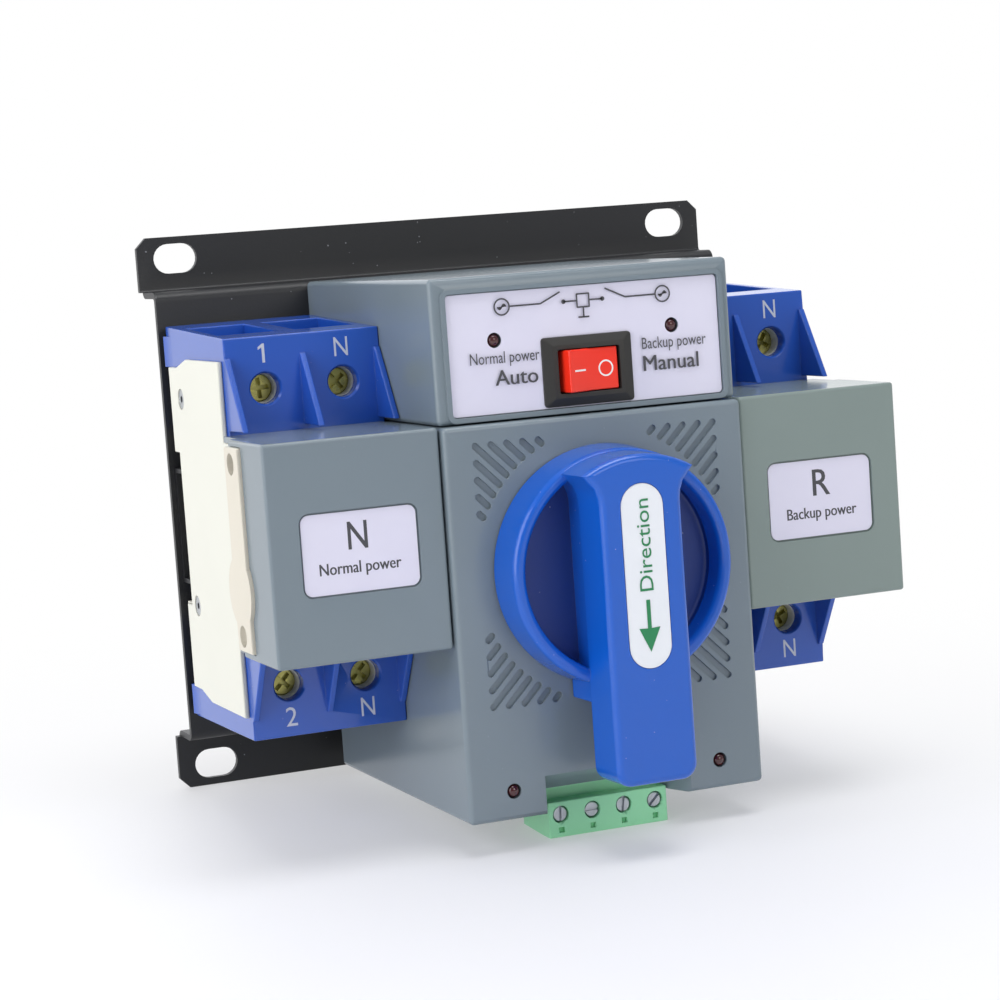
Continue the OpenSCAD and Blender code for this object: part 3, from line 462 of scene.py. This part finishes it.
def printing_ink(name, base, second, roughness):
    # screen ink: a thin even film that breaks up slightly, grain 0.15 mm
    material, tree = start_material(name)
    where = add(tree, "ShaderNodeTexCoord").outputs["Object"]
    grain = add(tree, "ShaderNodeTexNoise", None, {"Vector": where, "Scale": 6000.0, "Detail": 1.0})
    tone = add(tree, "ShaderNodeMix", {"data_type": "RGBA"}, {
        0: grain.outputs["Fac"], 6: tint(base), 7: tint(second)})
    shader = add(tree, "ShaderNodeBsdfPrincipled", None, {
        "Base Color": tone.outputs[2], "Roughness": roughness})
    return close_material(material, tree, shader)


def lettering(words, height, length, x, z, y, turn=0.0):
    # one line of print on a face that looks forward, as a closed film 0.02 mm thick;
    # height is that of a capital, and the line is drawn out to its length
    line = bpy.data.curves.new("line", "FONT")
    line.body = words
    line.extrude = 0.5
    line.resolution_u = 3
    holder = bpy.data.objects.new("line", line)
    scene.collection.objects.link(holder)
    bpy.context.view_layer.update()
    mesh = bpy.data.meshes.new_from_object(
        holder.evaluated_get(bpy.context.evaluated_depsgraph_get()))
    bpy.data.objects.remove(holder)
    bm = bmesh.new()
    bm.from_mesh(mesh)
    bpy.data.meshes.remove(mesh)
    bmesh.ops.remove_doubles(bm, verts=bm.verts, dist=1e-5)
    left, low = (min(v.co[i] for v in bm.verts) for i in (0, 1))
    wide = max(v.co.x for v in bm.verts) - left
    capital = 0.682
    middle = Matrix.Translation((-left - wide / 2, -capital / 2, 0))
    size = Matrix.Diagonal((length * 0.001 / wide, height * 0.001 / capital, 0.00002, 1))
    bm.transform(Matrix.Translation(mm(x, y, z)) @ Matrix.Rotation(math.radians(90), 4, "X")
                 @ Matrix.Rotation(math.radians(turn), 4, "Z") @ size @ middle)
    return bm


def gathered(parts):
    # several closed shapes as one mesh
    whole = bmesh.new()
    for part in parts:
        mesh = bpy.data.meshes.new("part")
        part.to_mesh(mesh)
        part.free()
        whole.from_mesh(mesh)
        bpy.data.meshes.remove(mesh)
    return whole


def bold(words, height, length, x, z, y):
    # the same line printed twice, 0.12 mm apart
    return gathered([lettering(words, height, length - 0.12, x + shift * 0.06, z, y - shift * 0.003)
                     for shift in (-1, 1)])


label_film = printed_film("lavender_label_film", "#dad8e9", "#e0deee")
finish(label_film, "control_label", "power_labels")
dark_ink = printing_ink("dark_grey_ink", "#3f3f43", "#4b4b50", 0.5)
face_y = -93.86
prints = [
    lettering("Normal power", 2.45, 16.1, -19.05, 35.5, face_y),
    lettering("Backup power", 2.45, 15.5, 21.1, 35.7, face_y),
    bold("Auto", 3.2, 10.0, -16.6, 31.1, face_y),
    bold("Manual", 3.3, 13.4, 20.1, 31.3, face_y),
]


def ruled(points, width):
    # a printed line through points in X and Z, as one thin closed strip
    outline = []
    for way in (points, list(reversed(points))):
        for i, (x, z) in enumerate(way[:-1]):
            dx, dz = way[i + 1][0] - x, way[i + 1][1] - z
            long = math.hypot(dx, dz) * 2 / width
            outline += [(x - dz / long, z + dx / long),
                        (way[i + 1][0] - dz / long, way[i + 1][1] + dx / long)]
    return raised(outline, face_y - 0.01, face_y + 0.01)


# changeover diagram: two sources, each with its open contact, and a load between them
for side in (-1, 1):
    ring = raised(arc(side * 19.0, 46.2, 1.9, 0, 360, 32)[:-1], face_y - 0.01, face_y + 0.01)
    hole = raised(arc(side * 19.0, 46.2, 1.55, 0, 360, 32)[:-1], face_y - 1, face_y + 1)
    wave = [(side * 19.0 + t / 10, 46.2 + 0.55 * math.sin(t * math.pi / 10)) for t in range(-10, 11, 2)]
    prints += [merged(ring, hole, "DIFFERENCE"), ruled(wave, 0.3),
               ruled([(side * 17.1, 46.2), (side * 10.0, 46.2)], 0.36),
               ruled([(side * 10.0, 46.2), (side * 5.3, 48.4)], 0.36),
               ruled([(side * 4.6, 46.2), (side * 1.6, 46.2)], 0.36),
               raised(arc(side * 4.6, 46.2, 0.5, 0, 360, 16)[:-1], face_y - 0.01, face_y + 0.01)]
load = raised(round_rect(0, 46.2, 3.2, 3.2, 0.2), face_y - 0.01, face_y + 0.01)
prints += [merged(load, raised(round_rect(0, 46.2, 2.5, 2.5, 0.1), face_y - 1, face_y + 1), "DIFFERENCE"),
           ruled([(0, 44.6), (0, 42.6)], 0.36), ruled([(-1.3, 42.6), (1.3, 42.6)], 0.36)]
piece("control_print", gathered(prints), dark_ink, "frame", None)


# ---- rocker switch ----
# A snap-in rocker in a fine-textured black frame. The rocker is polished orange-red with
# a line for one side and a ring for the other, moulded in white. Its right side is down.
black_plastic = moulded_plastic("black_textured_nylon", "#242320", "#2b2a27", 0.5, 0.0004, 0.0002)


def lofted(rings):
    # a closed shape through outlines in X and Z of one length, each at its own Y
    bm = bmesh.new()
    loops = [[bm.verts.new(mm(x, y, z)) for x, z in outline] for outline, y in rings]
    bm.faces.new(loops[0])
    bm.faces.new(loops[-1])
    for a, b in zip(loops, loops[1:]):
        for i in range(len(a)):
            j = (i + 1) % len(a)
            bm.faces.new((a[i], a[j], b[j], b[i]))
    bmesh.ops.recalc_face_normals(bm, faces=bm.faces)
    return bm


# the frame's face slopes up from its rim to the opening, with mitred corners
bezel = lofted([(round_rect(0.2, 31.2, 21.2, 15.1, 0.8, 3), -93.4),
                (round_rect(0.2, 31.2, 21.2, 15.1, 0.8, 3), -93.75),
                (round_rect(0.2, 31.2, 20.9, 14.8, 0.65, 3), -93.9),
                (round_rect(0.2, 31.2, 17.2, 11.7, 0.25, 3), -94.72),
                (round_rect(0.2, 31.2, 16.9, 11.4, 0.2, 3), -94.8)])
bezel = merged(bezel, raised(round_rect(0.2, 31.2, 14.6, 9.6, 0.5, 3), -97, -90), "DIFFERENCE")
bezel = merged(bezel, merged(cad_copy("rocker_housing"), raised(
    [(-12, 20), (12, 20), (12, 42), (-12, 42)], -93.4, -70), "INTERSECT"), "UNION")
piece("rocker_frame", bezel, black_plastic, "frame", "rocker_housing")

polished_red = moulded_plastic("polished_red_plastic", "#fa2f1a", "#ff3823", 0.2, 0.0006,
                               0.0002, coat=0.1)
rocker = soften(cad_copy("rocker"), 0.35, 3.0, 3)
piece("rocker_key", rocker, polished_red, "rocker_body", "rocker")
white_mark = printing_ink("white_moulded_mark", "#f1ece6", "#fbf7f2", 0.35)
tilt = Matrix.Translation(mm(0.2, -92.4, 31.2)) @ Matrix.Rotation(math.radians(12), 4, "Z")
marks = []
# the front is a shallow V, so each mark is turned to lie on its own half
for side, outline in ((-1, [(-1.6, -0.2), (1.6, -0.2), (1.6, 0.2), (-1.6, 0.2)]),
                      (1, arc(0, 0, 1.8, 0, 360, 32)[:-1])):
    mark = raised(outline, -0.02, 0.02)
    if side > 0:
        mark = merged(mark, raised(arc(0, 0, 1.45, 0, 360, 32)[:-1], -1, 1), "DIFFERENCE")
    slope = math.atan2(1.0, 6.4) * side
    middle = mm(side * 3.4, -2.3 - 3.4 * math.tan(abs(slope)) - 0.01, 0)
    mark.transform(tilt @ Matrix.Translation(middle) @ Matrix.Rotation(-slope, 4, "Z"))
    marks.append(mark)
piece("rocker_marks", gathered(marks), white_mark, "rocker_body", None)


# ---- lamps ----
# Four 3 mm red light-emitting diodes, their tinted lenses just showing in round holes.
lamp_lens, tree = start_material("red_tinted_lens")
where = add(tree, "ShaderNodeTexCoord").outputs["Object"]
depth = add(tree, "ShaderNodeTexNoise", None, {"Vector": where, "Scale": 900.0, "Detail": 2.0})
tone = add(tree, "ShaderNodeMix", {"data_type": "RGBA"}, {
    0: depth.outputs["Fac"], 6: tint("#2c0407"), 7: tint("#4e0b10")})
shader = add(tree, "ShaderNodeBsdfPrincipled", None, {
    "Base Color": tone.outputs[2], "Roughness": 0.12, "IOR": 1.53, "Coat Weight": 0.6,
    "Coat Roughness": 0.03})
close_material(lamp_lens, tree, shader)
finish(lamp_lens, "upper_lamps", "lower_lamps")


# ---- handle ----
# One glossy blue nylon moulding: a round dish with a thick rounded rim, and a lever that
# crosses it and reaches down over the casing. A pill-shaped label sits in its front.
axis_z = -11.0
blue_plastic = moulded_plastic("blue_glossy_nylon", "#0c56bc", "#115cc4", 0.2, 0.0008, 0.0003, 0.03, 0.2)


def spun(profile, steps=96):
    # a closed turned shape about the handle's axis; profile is (radius, y) from the axis out
    bm = bmesh.new()
    rings = []
    for radius, y in profile:
        if radius < 1e-6:
            rings.append([bm.verts.new(mm(0, y, axis_z))])
        else:
            rings.append([bm.verts.new(mm(
                radius * math.cos(2 * math.pi * i / steps), y,
                axis_z + radius * math.sin(2 * math.pi * i / steps))) for i in range(steps)])
    for a, b in zip(rings, rings[1:]):
        for i in range(steps):
            j = (i + 1) % steps
            if len(a) == 1:
                bm.faces.new((a[0], b[i], b[j]))
            elif len(b) == 1:
                bm.faces.new((a[i], b[0], a[j]))
            else:
                bm.faces.new((a[i], b[i], b[j], a[j]))
    bmesh.ops.recalc_face_normals(bm, faces=bm.faces)
    return bm


dish_profile = [(0, -96.4), (26.0, -96.4), (26.2, -96.8), (25.9, -101.5), (25.7, -104.6)]
dish_profile += [(24.2 + 1.5 * math.cos(a), -105.5 - 1.5 * math.sin(a))
                 for a in (math.radians(t) for t in range(0, 181, 20))]
dish_profile += [(22.6, -103.5), (22.4, -101.9), (22.1, -101.1), (21.4, -100.8), (0, -100.8)]


def inset(outline, depth):
    # an outline drawn in by the same depth all round
    out = []
    for i, (x, z) in enumerate(outline):
        before, after = outline[i - 1], outline[(i + 1) % len(outline)]
        a = Vector((x - before[0], z - before[1])).normalized()
        b = Vector((after[0] - x, after[1] - z)).normalized()
        inward = Vector((-a.y - b.y, a.x + b.x)).normalized()
        out.append((x + inward.x * depth / max(0.5, inward.dot(Vector((-a.y, a.x)))),
                    z + inward.y * depth / max(0.5, inward.dot(Vector((-a.y, a.x))))))
    return out


def grip(reach, corner, half, tip, y_front, y_back, fillet):
    # the lever: an arched head, a waist and a straight bar with round corners, its sides
    # drafted by 0.4 mm and its front edge rounded
    rings = []
    for spread in (0.0, 0.4):
        side, flare, head_r = half + spread, tip + spread, 25.0 + spread * 0.5
        ends = math.degrees(math.acos(flare / head_r))
        neck = [(side, 14.6), (side + 0.2, 16.4), (side + 0.9, 18.4)]
        rings.append([(x, z + axis_z) for x, z in
                      neck + arc(0, 0, head_r, ends, 180 - ends, 12)
                      + [(-x, z) for x, z in reversed(neck)]
                      + arc(-side + corner, -reach + corner, corner, 180, 270, 8)
                      + arc(side - corner, -reach + corner, corner, 270, 360, 8)])
    turns = [math.radians(t) for t in range(0, 91, 15)] if fillet else []
    stack = [(inset(rings[0], fillet * (1 - math.sin(t))), y_front + fillet * (1 - math.cos(t)))
             for t in turns] or [(rings[0], y_front)]
    return lofted(stack + [(rings[1], y_back)])


handle = merged(spun(dish_profile), grip(28.4, 0.6, 9.3, 12.9, -107.5, -96.6, 0), "UNION")
handle = merged(handle, grip(45.4, 3.5, 9.4, 12.9, -117.5, -106.4, 1.5), "UNION")
pocket = raised([(x, z) for z, x in pill(axis_z - 0.85, 0, 39.6, 10.0)], -119, -117.0)
handle = merged(handle, pocket, "DIFFERENCE")
handle = merged(handle, raised(arc(0, axis_z, 4.0, 0, 360, 48)[:-1], -112, -90), "DIFFERENCE")
moulded = piece("handle_moulding", handle, blue_plastic, "handle", "handle", 40)
# the dish's floor is painted a darker blue as painted shade for its recess, and it also has the tool's
# dull finish and holds some dust
floor_radius, floor_front, floor_back = 0.0223, -0.1035, -0.1004
dull_blue_painted_shade = moulded_plastic("blue_dull_nylon_painted_shade", "#0e2f74", "#123682", 0.42, 0.0004, 0.0002, 0.04)
moulded.data.materials.append(dull_blue_painted_shade)
# faces on the recessed floor take the darker blue, which is painted shade for the recess
for face in moulded.data.polygons:
    away = math.hypot(face.center.x, face.center.z - axis_z * 0.001)
    in_depth = floor_front < face.center.y < floor_back
    if away < floor_radius and in_depth and face.normal.y < -0.2:
        face.material_index = 1
pale_film = printed_film("white_label_film", "#e6eaf0", "#eef1f5")
finish(pale_film, "handle_label")
green_ink = printing_ink("green_ink", "#1f7d4c", "#278a56", 0.45)
label_y = -117.49
arrow = [(0, -28.0), (-2.45, -22.85), (-0.45, -22.95), (-0.45, -16.9), (0.45, -16.9),
         (0.45, -22.95), (2.45, -22.85)]
handle_print = [raised(arrow, label_y - 0.0005, label_y + 0.01),
                lettering("Direction", 3.1, 19.5, -0.1, -5.25, label_y, turn=90.0)]
piece("handle_print", gathered(handle_print), green_ink, "handle", None)


# ---- shaft, gears and racks ----
# Inside the casing: a ground steel shaft in brass bushes, acetal gears and racks that
# slide in a black guide, and two small switches worked by a cam.
ground_steel = plated_steel("ground_steel", "#9fa3a8", "#868a90", 0.28)
turned_brass = plated_steel("turned_brass", "#c9a352", "#b48c3c", 0.25)
acetal = moulded_plastic("natural_acetal", "#e3dccb", "#ece6d8", 0.38, 0.0008, 0.0001)
finish(ground_steel, "drive_shaft", "rack_pinion")
finish(turned_brass, "shaft_bushes", "motor_pinion")
finish(acetal, "drive_gear", "limit_cam", "n_rack", "r_rack")
finish(black_plastic, "rack_guide", "limit_switches")


# ---- motor and electronics ----
# A can motor with its gearbox on the gear plate, and a green laminate board with two
# relays and a small transformer.
finish(bright_zinc, "motor_body")
laminate = moulded_plastic("green_board_laminate", "#1d5c38", "#246a42", 0.35, 0.0006, 0.0001)
relay_case = moulded_plastic("blue_relay_case", "#27498f", "#2c519c", 0.3, 0.0006, 0.0002)
core_iron = plated_steel("lacquered_core_iron", "#34363a", "#26282b", 0.45, 0.6)
finish(laminate, "control_board")
finish(relay_case, "relays")
finish(core_iron, "transformer")


# ---- control plug ----
# A four-way pluggable terminal in green polyamide, with its header on the lower board.
# Bright slotted screws stand in round wells over square wire entries.
green_polyamide = moulded_plastic("green_polyamide", "#93e0ac", "#9de6b4", 0.3, 0.0005,
                                  0.0002, 0.0, 0.1)
finish(green_polyamide, "terminal_header")
plug = soften(cad_copy("control_plug"), 0.3, 5.0, 2)
piece("plug_moulding", plug, green_polyamide, "plug", "control_plug")


def turned(profile, steps=32, tube=False):
    # a closed turned shape about the Y axis at the origin; profile is (radius, y), and
    # a tube's profile runs all the way round its wall
    bm = bmesh.new()
    rings = [[bm.verts.new(mm(r * math.cos(2 * math.pi * i / steps), y,
                              r * math.sin(2 * math.pi * i / steps))) for i in range(steps)]
             for r, y in profile]
    for a, b in zip(rings, rings[1:]):
        for i in range(steps):
            bm.faces.new((a[i], b[i], b[(i + 1) % steps], a[(i + 1) % steps]))
    if tube:
        for i in range(steps):
            j = (i + 1) % steps
            bm.faces.new((rings[-1][i], rings[0][i], rings[0][j], rings[-1][j]))
    else:
        bm.faces.new(rings[0])
        bm.faces.new(rings[-1])
    bmesh.ops.recalc_face_normals(bm, faces=bm.faces)
    return bm


def set_in_rows(name, screw, centre, across, upward, columns, rows, seed, material, body, node):
    # Geometry Nodes set a screw at each crossing of a grid, each turned by its own angle
    mesh = bpy.data.meshes.new(name + "_one")
    bmesh.ops.recalc_face_normals(screw, faces=screw.faces)
    screw.to_mesh(mesh)
    screw.free()
    one = bpy.data.objects.new(name + "_one", mesh)
    scene.collection.objects.link(one)
    tree = bpy.data.node_groups.new(name + "_rows", "GeometryNodeTree")
    face = tree.interface
    face.new_socket("Geometry", in_out="OUTPUT", socket_type="NodeSocketGeometry")
    for label, kind in (("Screw", "NodeSocketObject"), ("Across", "NodeSocketFloat"),
                        ("Upward", "NodeSocketFloat"), ("Columns", "NodeSocketInt"),
                        ("Rows", "NodeSocketInt"), ("Centre", "NodeSocketVector"),
                        ("Seed", "NodeSocketInt"), ("Finish", "NodeSocketMaterial")):
        face.new_socket(label, in_out="INPUT", socket_type=kind)
    given = add(tree, "NodeGroupInput").outputs
    grid = add(tree, "GeometryNodeMeshGrid", None, {
        "Size X": given["Across"], "Size Y": given["Upward"],
        "Vertices X": given["Columns"], "Vertices Y": given["Rows"]})
    stand = add(tree, "GeometryNodeTransform", None, {
        "Geometry": grid.outputs["Mesh"], "Translation": given["Centre"],
        "Rotation": (math.pi / 2, 0.0, 0.0)})
    angle = add(tree, "FunctionNodeRandomValue", {"data_type": "FLOAT"}, {
        "Seed": given["Seed"]})
    angle.inputs[2].default_value = 0.0
    angle.inputs[3].default_value = math.pi
    turn = add(tree, "ShaderNodeCombineXYZ", None, {"Y": angle.outputs[1]})
    source = add(tree, "GeometryNodeObjectInfo", None, {"Object": given["Screw"]})
    placed = add(tree, "GeometryNodeInstanceOnPoints", None, {
        "Points": stand.outputs["Geometry"], "Instance": source.outputs["Geometry"],
        "Rotation": turn.outputs[0]})
    real = add(tree, "GeometryNodeRealizeInstances", None, {"Geometry": placed.outputs[0]})
    coated = add(tree, "GeometryNodeSetMaterial", None, {
        "Geometry": real.outputs[0], "Material": given["Finish"]})
    add(tree, "NodeGroupOutput", None, {"Geometry": coated.outputs[0]})
    holder = bpy.data.objects.new(name, bpy.data.meshes.new(name))
    scene.collection.objects.link(holder)
    rows_of = holder.modifiers.new("rows", "NODES")
    rows_of.node_group = tree
    values = {"Screw": one, "Across": across * 0.001, "Upward": upward * 0.001,
              "Columns": columns, "Rows": rows, "Centre": mm(*centre), "Seed": seed,
              "Finish": material}
    for item in face.items_tree:
        if item.in_out == "INPUT":
            rows_of[item.identifier] = values[item.name]
    bpy.context.view_layer.update()
    made = bpy.data.meshes.new_from_object(
        holder.evaluated_get(bpy.context.evaluated_depsgraph_get()))
    bpy.data.objects.remove(holder)
    bpy.data.objects.remove(one)
    bm = bmesh.new()
    bm.from_mesh(made)
    return piece(name, bm, material, body, node, 30)


def slotted_head(radius, front, depth, seat, cross=False):
    # a turned head with a broken rim, and one slot or two crossed slots milled in
    head = turned([(radius - 0.25, front), (radius, front + 0.25), (radius, seat)])
    for angle in ((0, 90) if cross else (0,)):
        width = 0.52 if cross else 0.32
        reach = radius + 1 if not cross else radius * 0.74
        cut = raised([(-reach, -width), (reach, -width), (reach, width), (-reach, width)],
                     front - 1, front + depth)
        cut.transform(Matrix.Rotation(math.radians(angle), 4, "Y"))
        head = merged(head, cut, "DIFFERENCE")
    return head


set_in_rows("plug_screw_heads", slotted_head(1.75, 0.0, 0.7, 3.4), (0, -88.5, -66.3), 22.86, 0.0,
            4, 1, 5, bright_zinc, "plug", "plug_screws")


# ---- breakers ----
# Each is two poles of moulded thermoset, blue at both ends over the clamps and cream in
# the middle, closed by a cream side plate that four hollow rivets hold.
breaker_blue = moulded_plastic("blue_moulded_thermoset", "#1f4fae", "#2759be", 0.17, 0.0007,
                               0.0003, 0.02, 0.25)
cream_plastic = moulded_plastic("cream_moulded_thermoset", "#e9e6d9", "#efece0", 0.42, 0.0006, 0.0003)
side_cream = moulded_plastic("white_moulded_thermoset", "#dcdcd0", "#e3e3d7", 0.4, 0.0006, 0.0003)
ivory_plastic = moulded_plastic("ivory_moulded_thermoset", "#d3cdbd", "#dad4c4", 0.4, 0.0006, 0.0003)
olive_zinc = plated_steel("yellow_zinc_steel", "#b4b06c", "#8f8a50", 0.27)
finish(cream_plastic, "n_breaker_case", "r_breaker_case")
finish(breaker_blue, "n_rail_clips", "r_rail_clips", "n_toggle", "r_toggle")
finish(bright_zinc, "n_clamps", "r_clamps", "n_arc_chutes", "r_arc_chutes")
finish(bright_zinc, "n_rivets", "r_rivets")
copper_strip = plated_steel("bare_copper", "#b87247", "#a35f38", 0.32)
finish(copper_strip, "n_contact_arms", "r_contact_arms", "n_fixed_contacts", "r_fixed_contacts",
       "n_trip_coils", "r_trip_coils")
silver_foil = printing_ink("silver_stamping_foil", "#b9bfd0", "#cbd0de", 0.3)
strip_out, strip_ahead, plate_out = 0.0745, 0.069, 0.0728
for mark, side in (("n", -1), ("r", 1)):
    for end in ("upper", "lower"):
        node = f"{mark}_{end}_terminals"
        ends = soften(cad_copy(node), 0.4, 4.0, 3)
        for x in (44.45, 62.45):
            mouth = turned([(4.1, -60.4), (3.38, -59.6), (3.3, -59.5)])
            mouth.transform(Matrix.Translation(mm(side * x, 0, 31.5 if end == "upper" else -34.5)))
            ends = merged(ends, mouth, "DIFFERENCE")
        piece(node + "_moulding", ends, breaker_blue, "frame", node)
    cover_plate = soften(cad_copy(f"{mark}_side_plate"), 0.3, 3.0, 2)
    cheek = piece(f"{mark}_side_cheek", cover_plate, side_cream, "frame",
                  f"{mark}_side_plate")
    # its raised strip, the strip's edges and the recesses in it are given a darker ivory tone
    cheek.data.materials.append(ivory_plastic)
    for face in cheek.data.polygons:
        out, ahead = abs(face.center.x), -face.center.y
        if out > strip_out or (ahead > strip_ahead and out > plate_out):
            face.material_index = 1
    set_in_rows(f"{mark}_clamp_screws", slotted_head(3.1, 0.0, 1.6, 2.8, True),
                (side * 53.45, -54.6, -1.5), 18.0, 66.0, 2, 2, 3 + side, olive_zinc, "frame",
                f"{mark}_terminal_screws")
    # a pale guide ring lies on each clamp round its screw
    guide = turned([(3.12, -2.6), (3.36, -2.6), (3.36, 2.4), (3.12, 2.4)], 32, True)
    set_in_rows(f"{mark}_well_guides", guide, (side * 53.45, -54.6, -1.5), 18.0, 66.0, 2, 2, 1,
                side_cream, "frame", None)
    left, other = sorted((side * 62.45, side * 44.45))
    one = [(0.33, -2.1), (0.33, 2.1), (-0.1, 2.1), (-1.15, 1.35), (-1.15, 0.75), (-0.3, 1.25),
           (-0.3, -2.1)]
    digits = [raised([(x + left, z + 39.35) for x, z in one], -60.13, -60.11),
              lettering("N", 4.2, 3.2, other, 39.35, -60.12),
              lettering("2", 4.2, 2.6, left, -41.7, -60.12),
              lettering("N", 4.2, 3.2, other, -41.7, -60.12)]
    piece(f"{mark}_pole_marks", gathered(digits), silver_foil, "frame", None)


# ---- toggle covers ----
# A grey ABS cap over each breaker's levers, open at the back, with its label in a
# shallow pocket. The right-hand cap is from a slightly greener batch.
green_grey_abs = moulded_plastic("green_grey_moulded_abs", "#7d8b87", "#84928e", 0.2, 0.0005,
                                 0.00025, 0.012)
for mark, side in (("n", -1), ("r", 1)):
    x = sorted((side * 75.0, side * 35.7))
    cap = merged(cad_copy(f"{mark}_toggle_cover"),
                 round_block((x[0], -94.4, -25.7), (x[1], -50, 21.9), 0.7), "INTERSECT")
    piece(f"{mark}_toggle_cap", cap, grey_abs if side < 0 else green_grey_abs, "frame",
          f"{mark}_toggle_cover")
    words = ("N", "Normal power") if side < 0 else ("R", "Backup power")
    film_y = -94.005
    big = bold(words[0], 5.9, 4.4, side * 55.3, 1.05, film_y)
    small = bold(words[1], 2.45, 18.3 if side < 0 else 17.7, side * 55.1, -5.6, film_y)
    piece(f"{mark}_cap_print", gathered([big, small]), dark_ink, "frame", None)
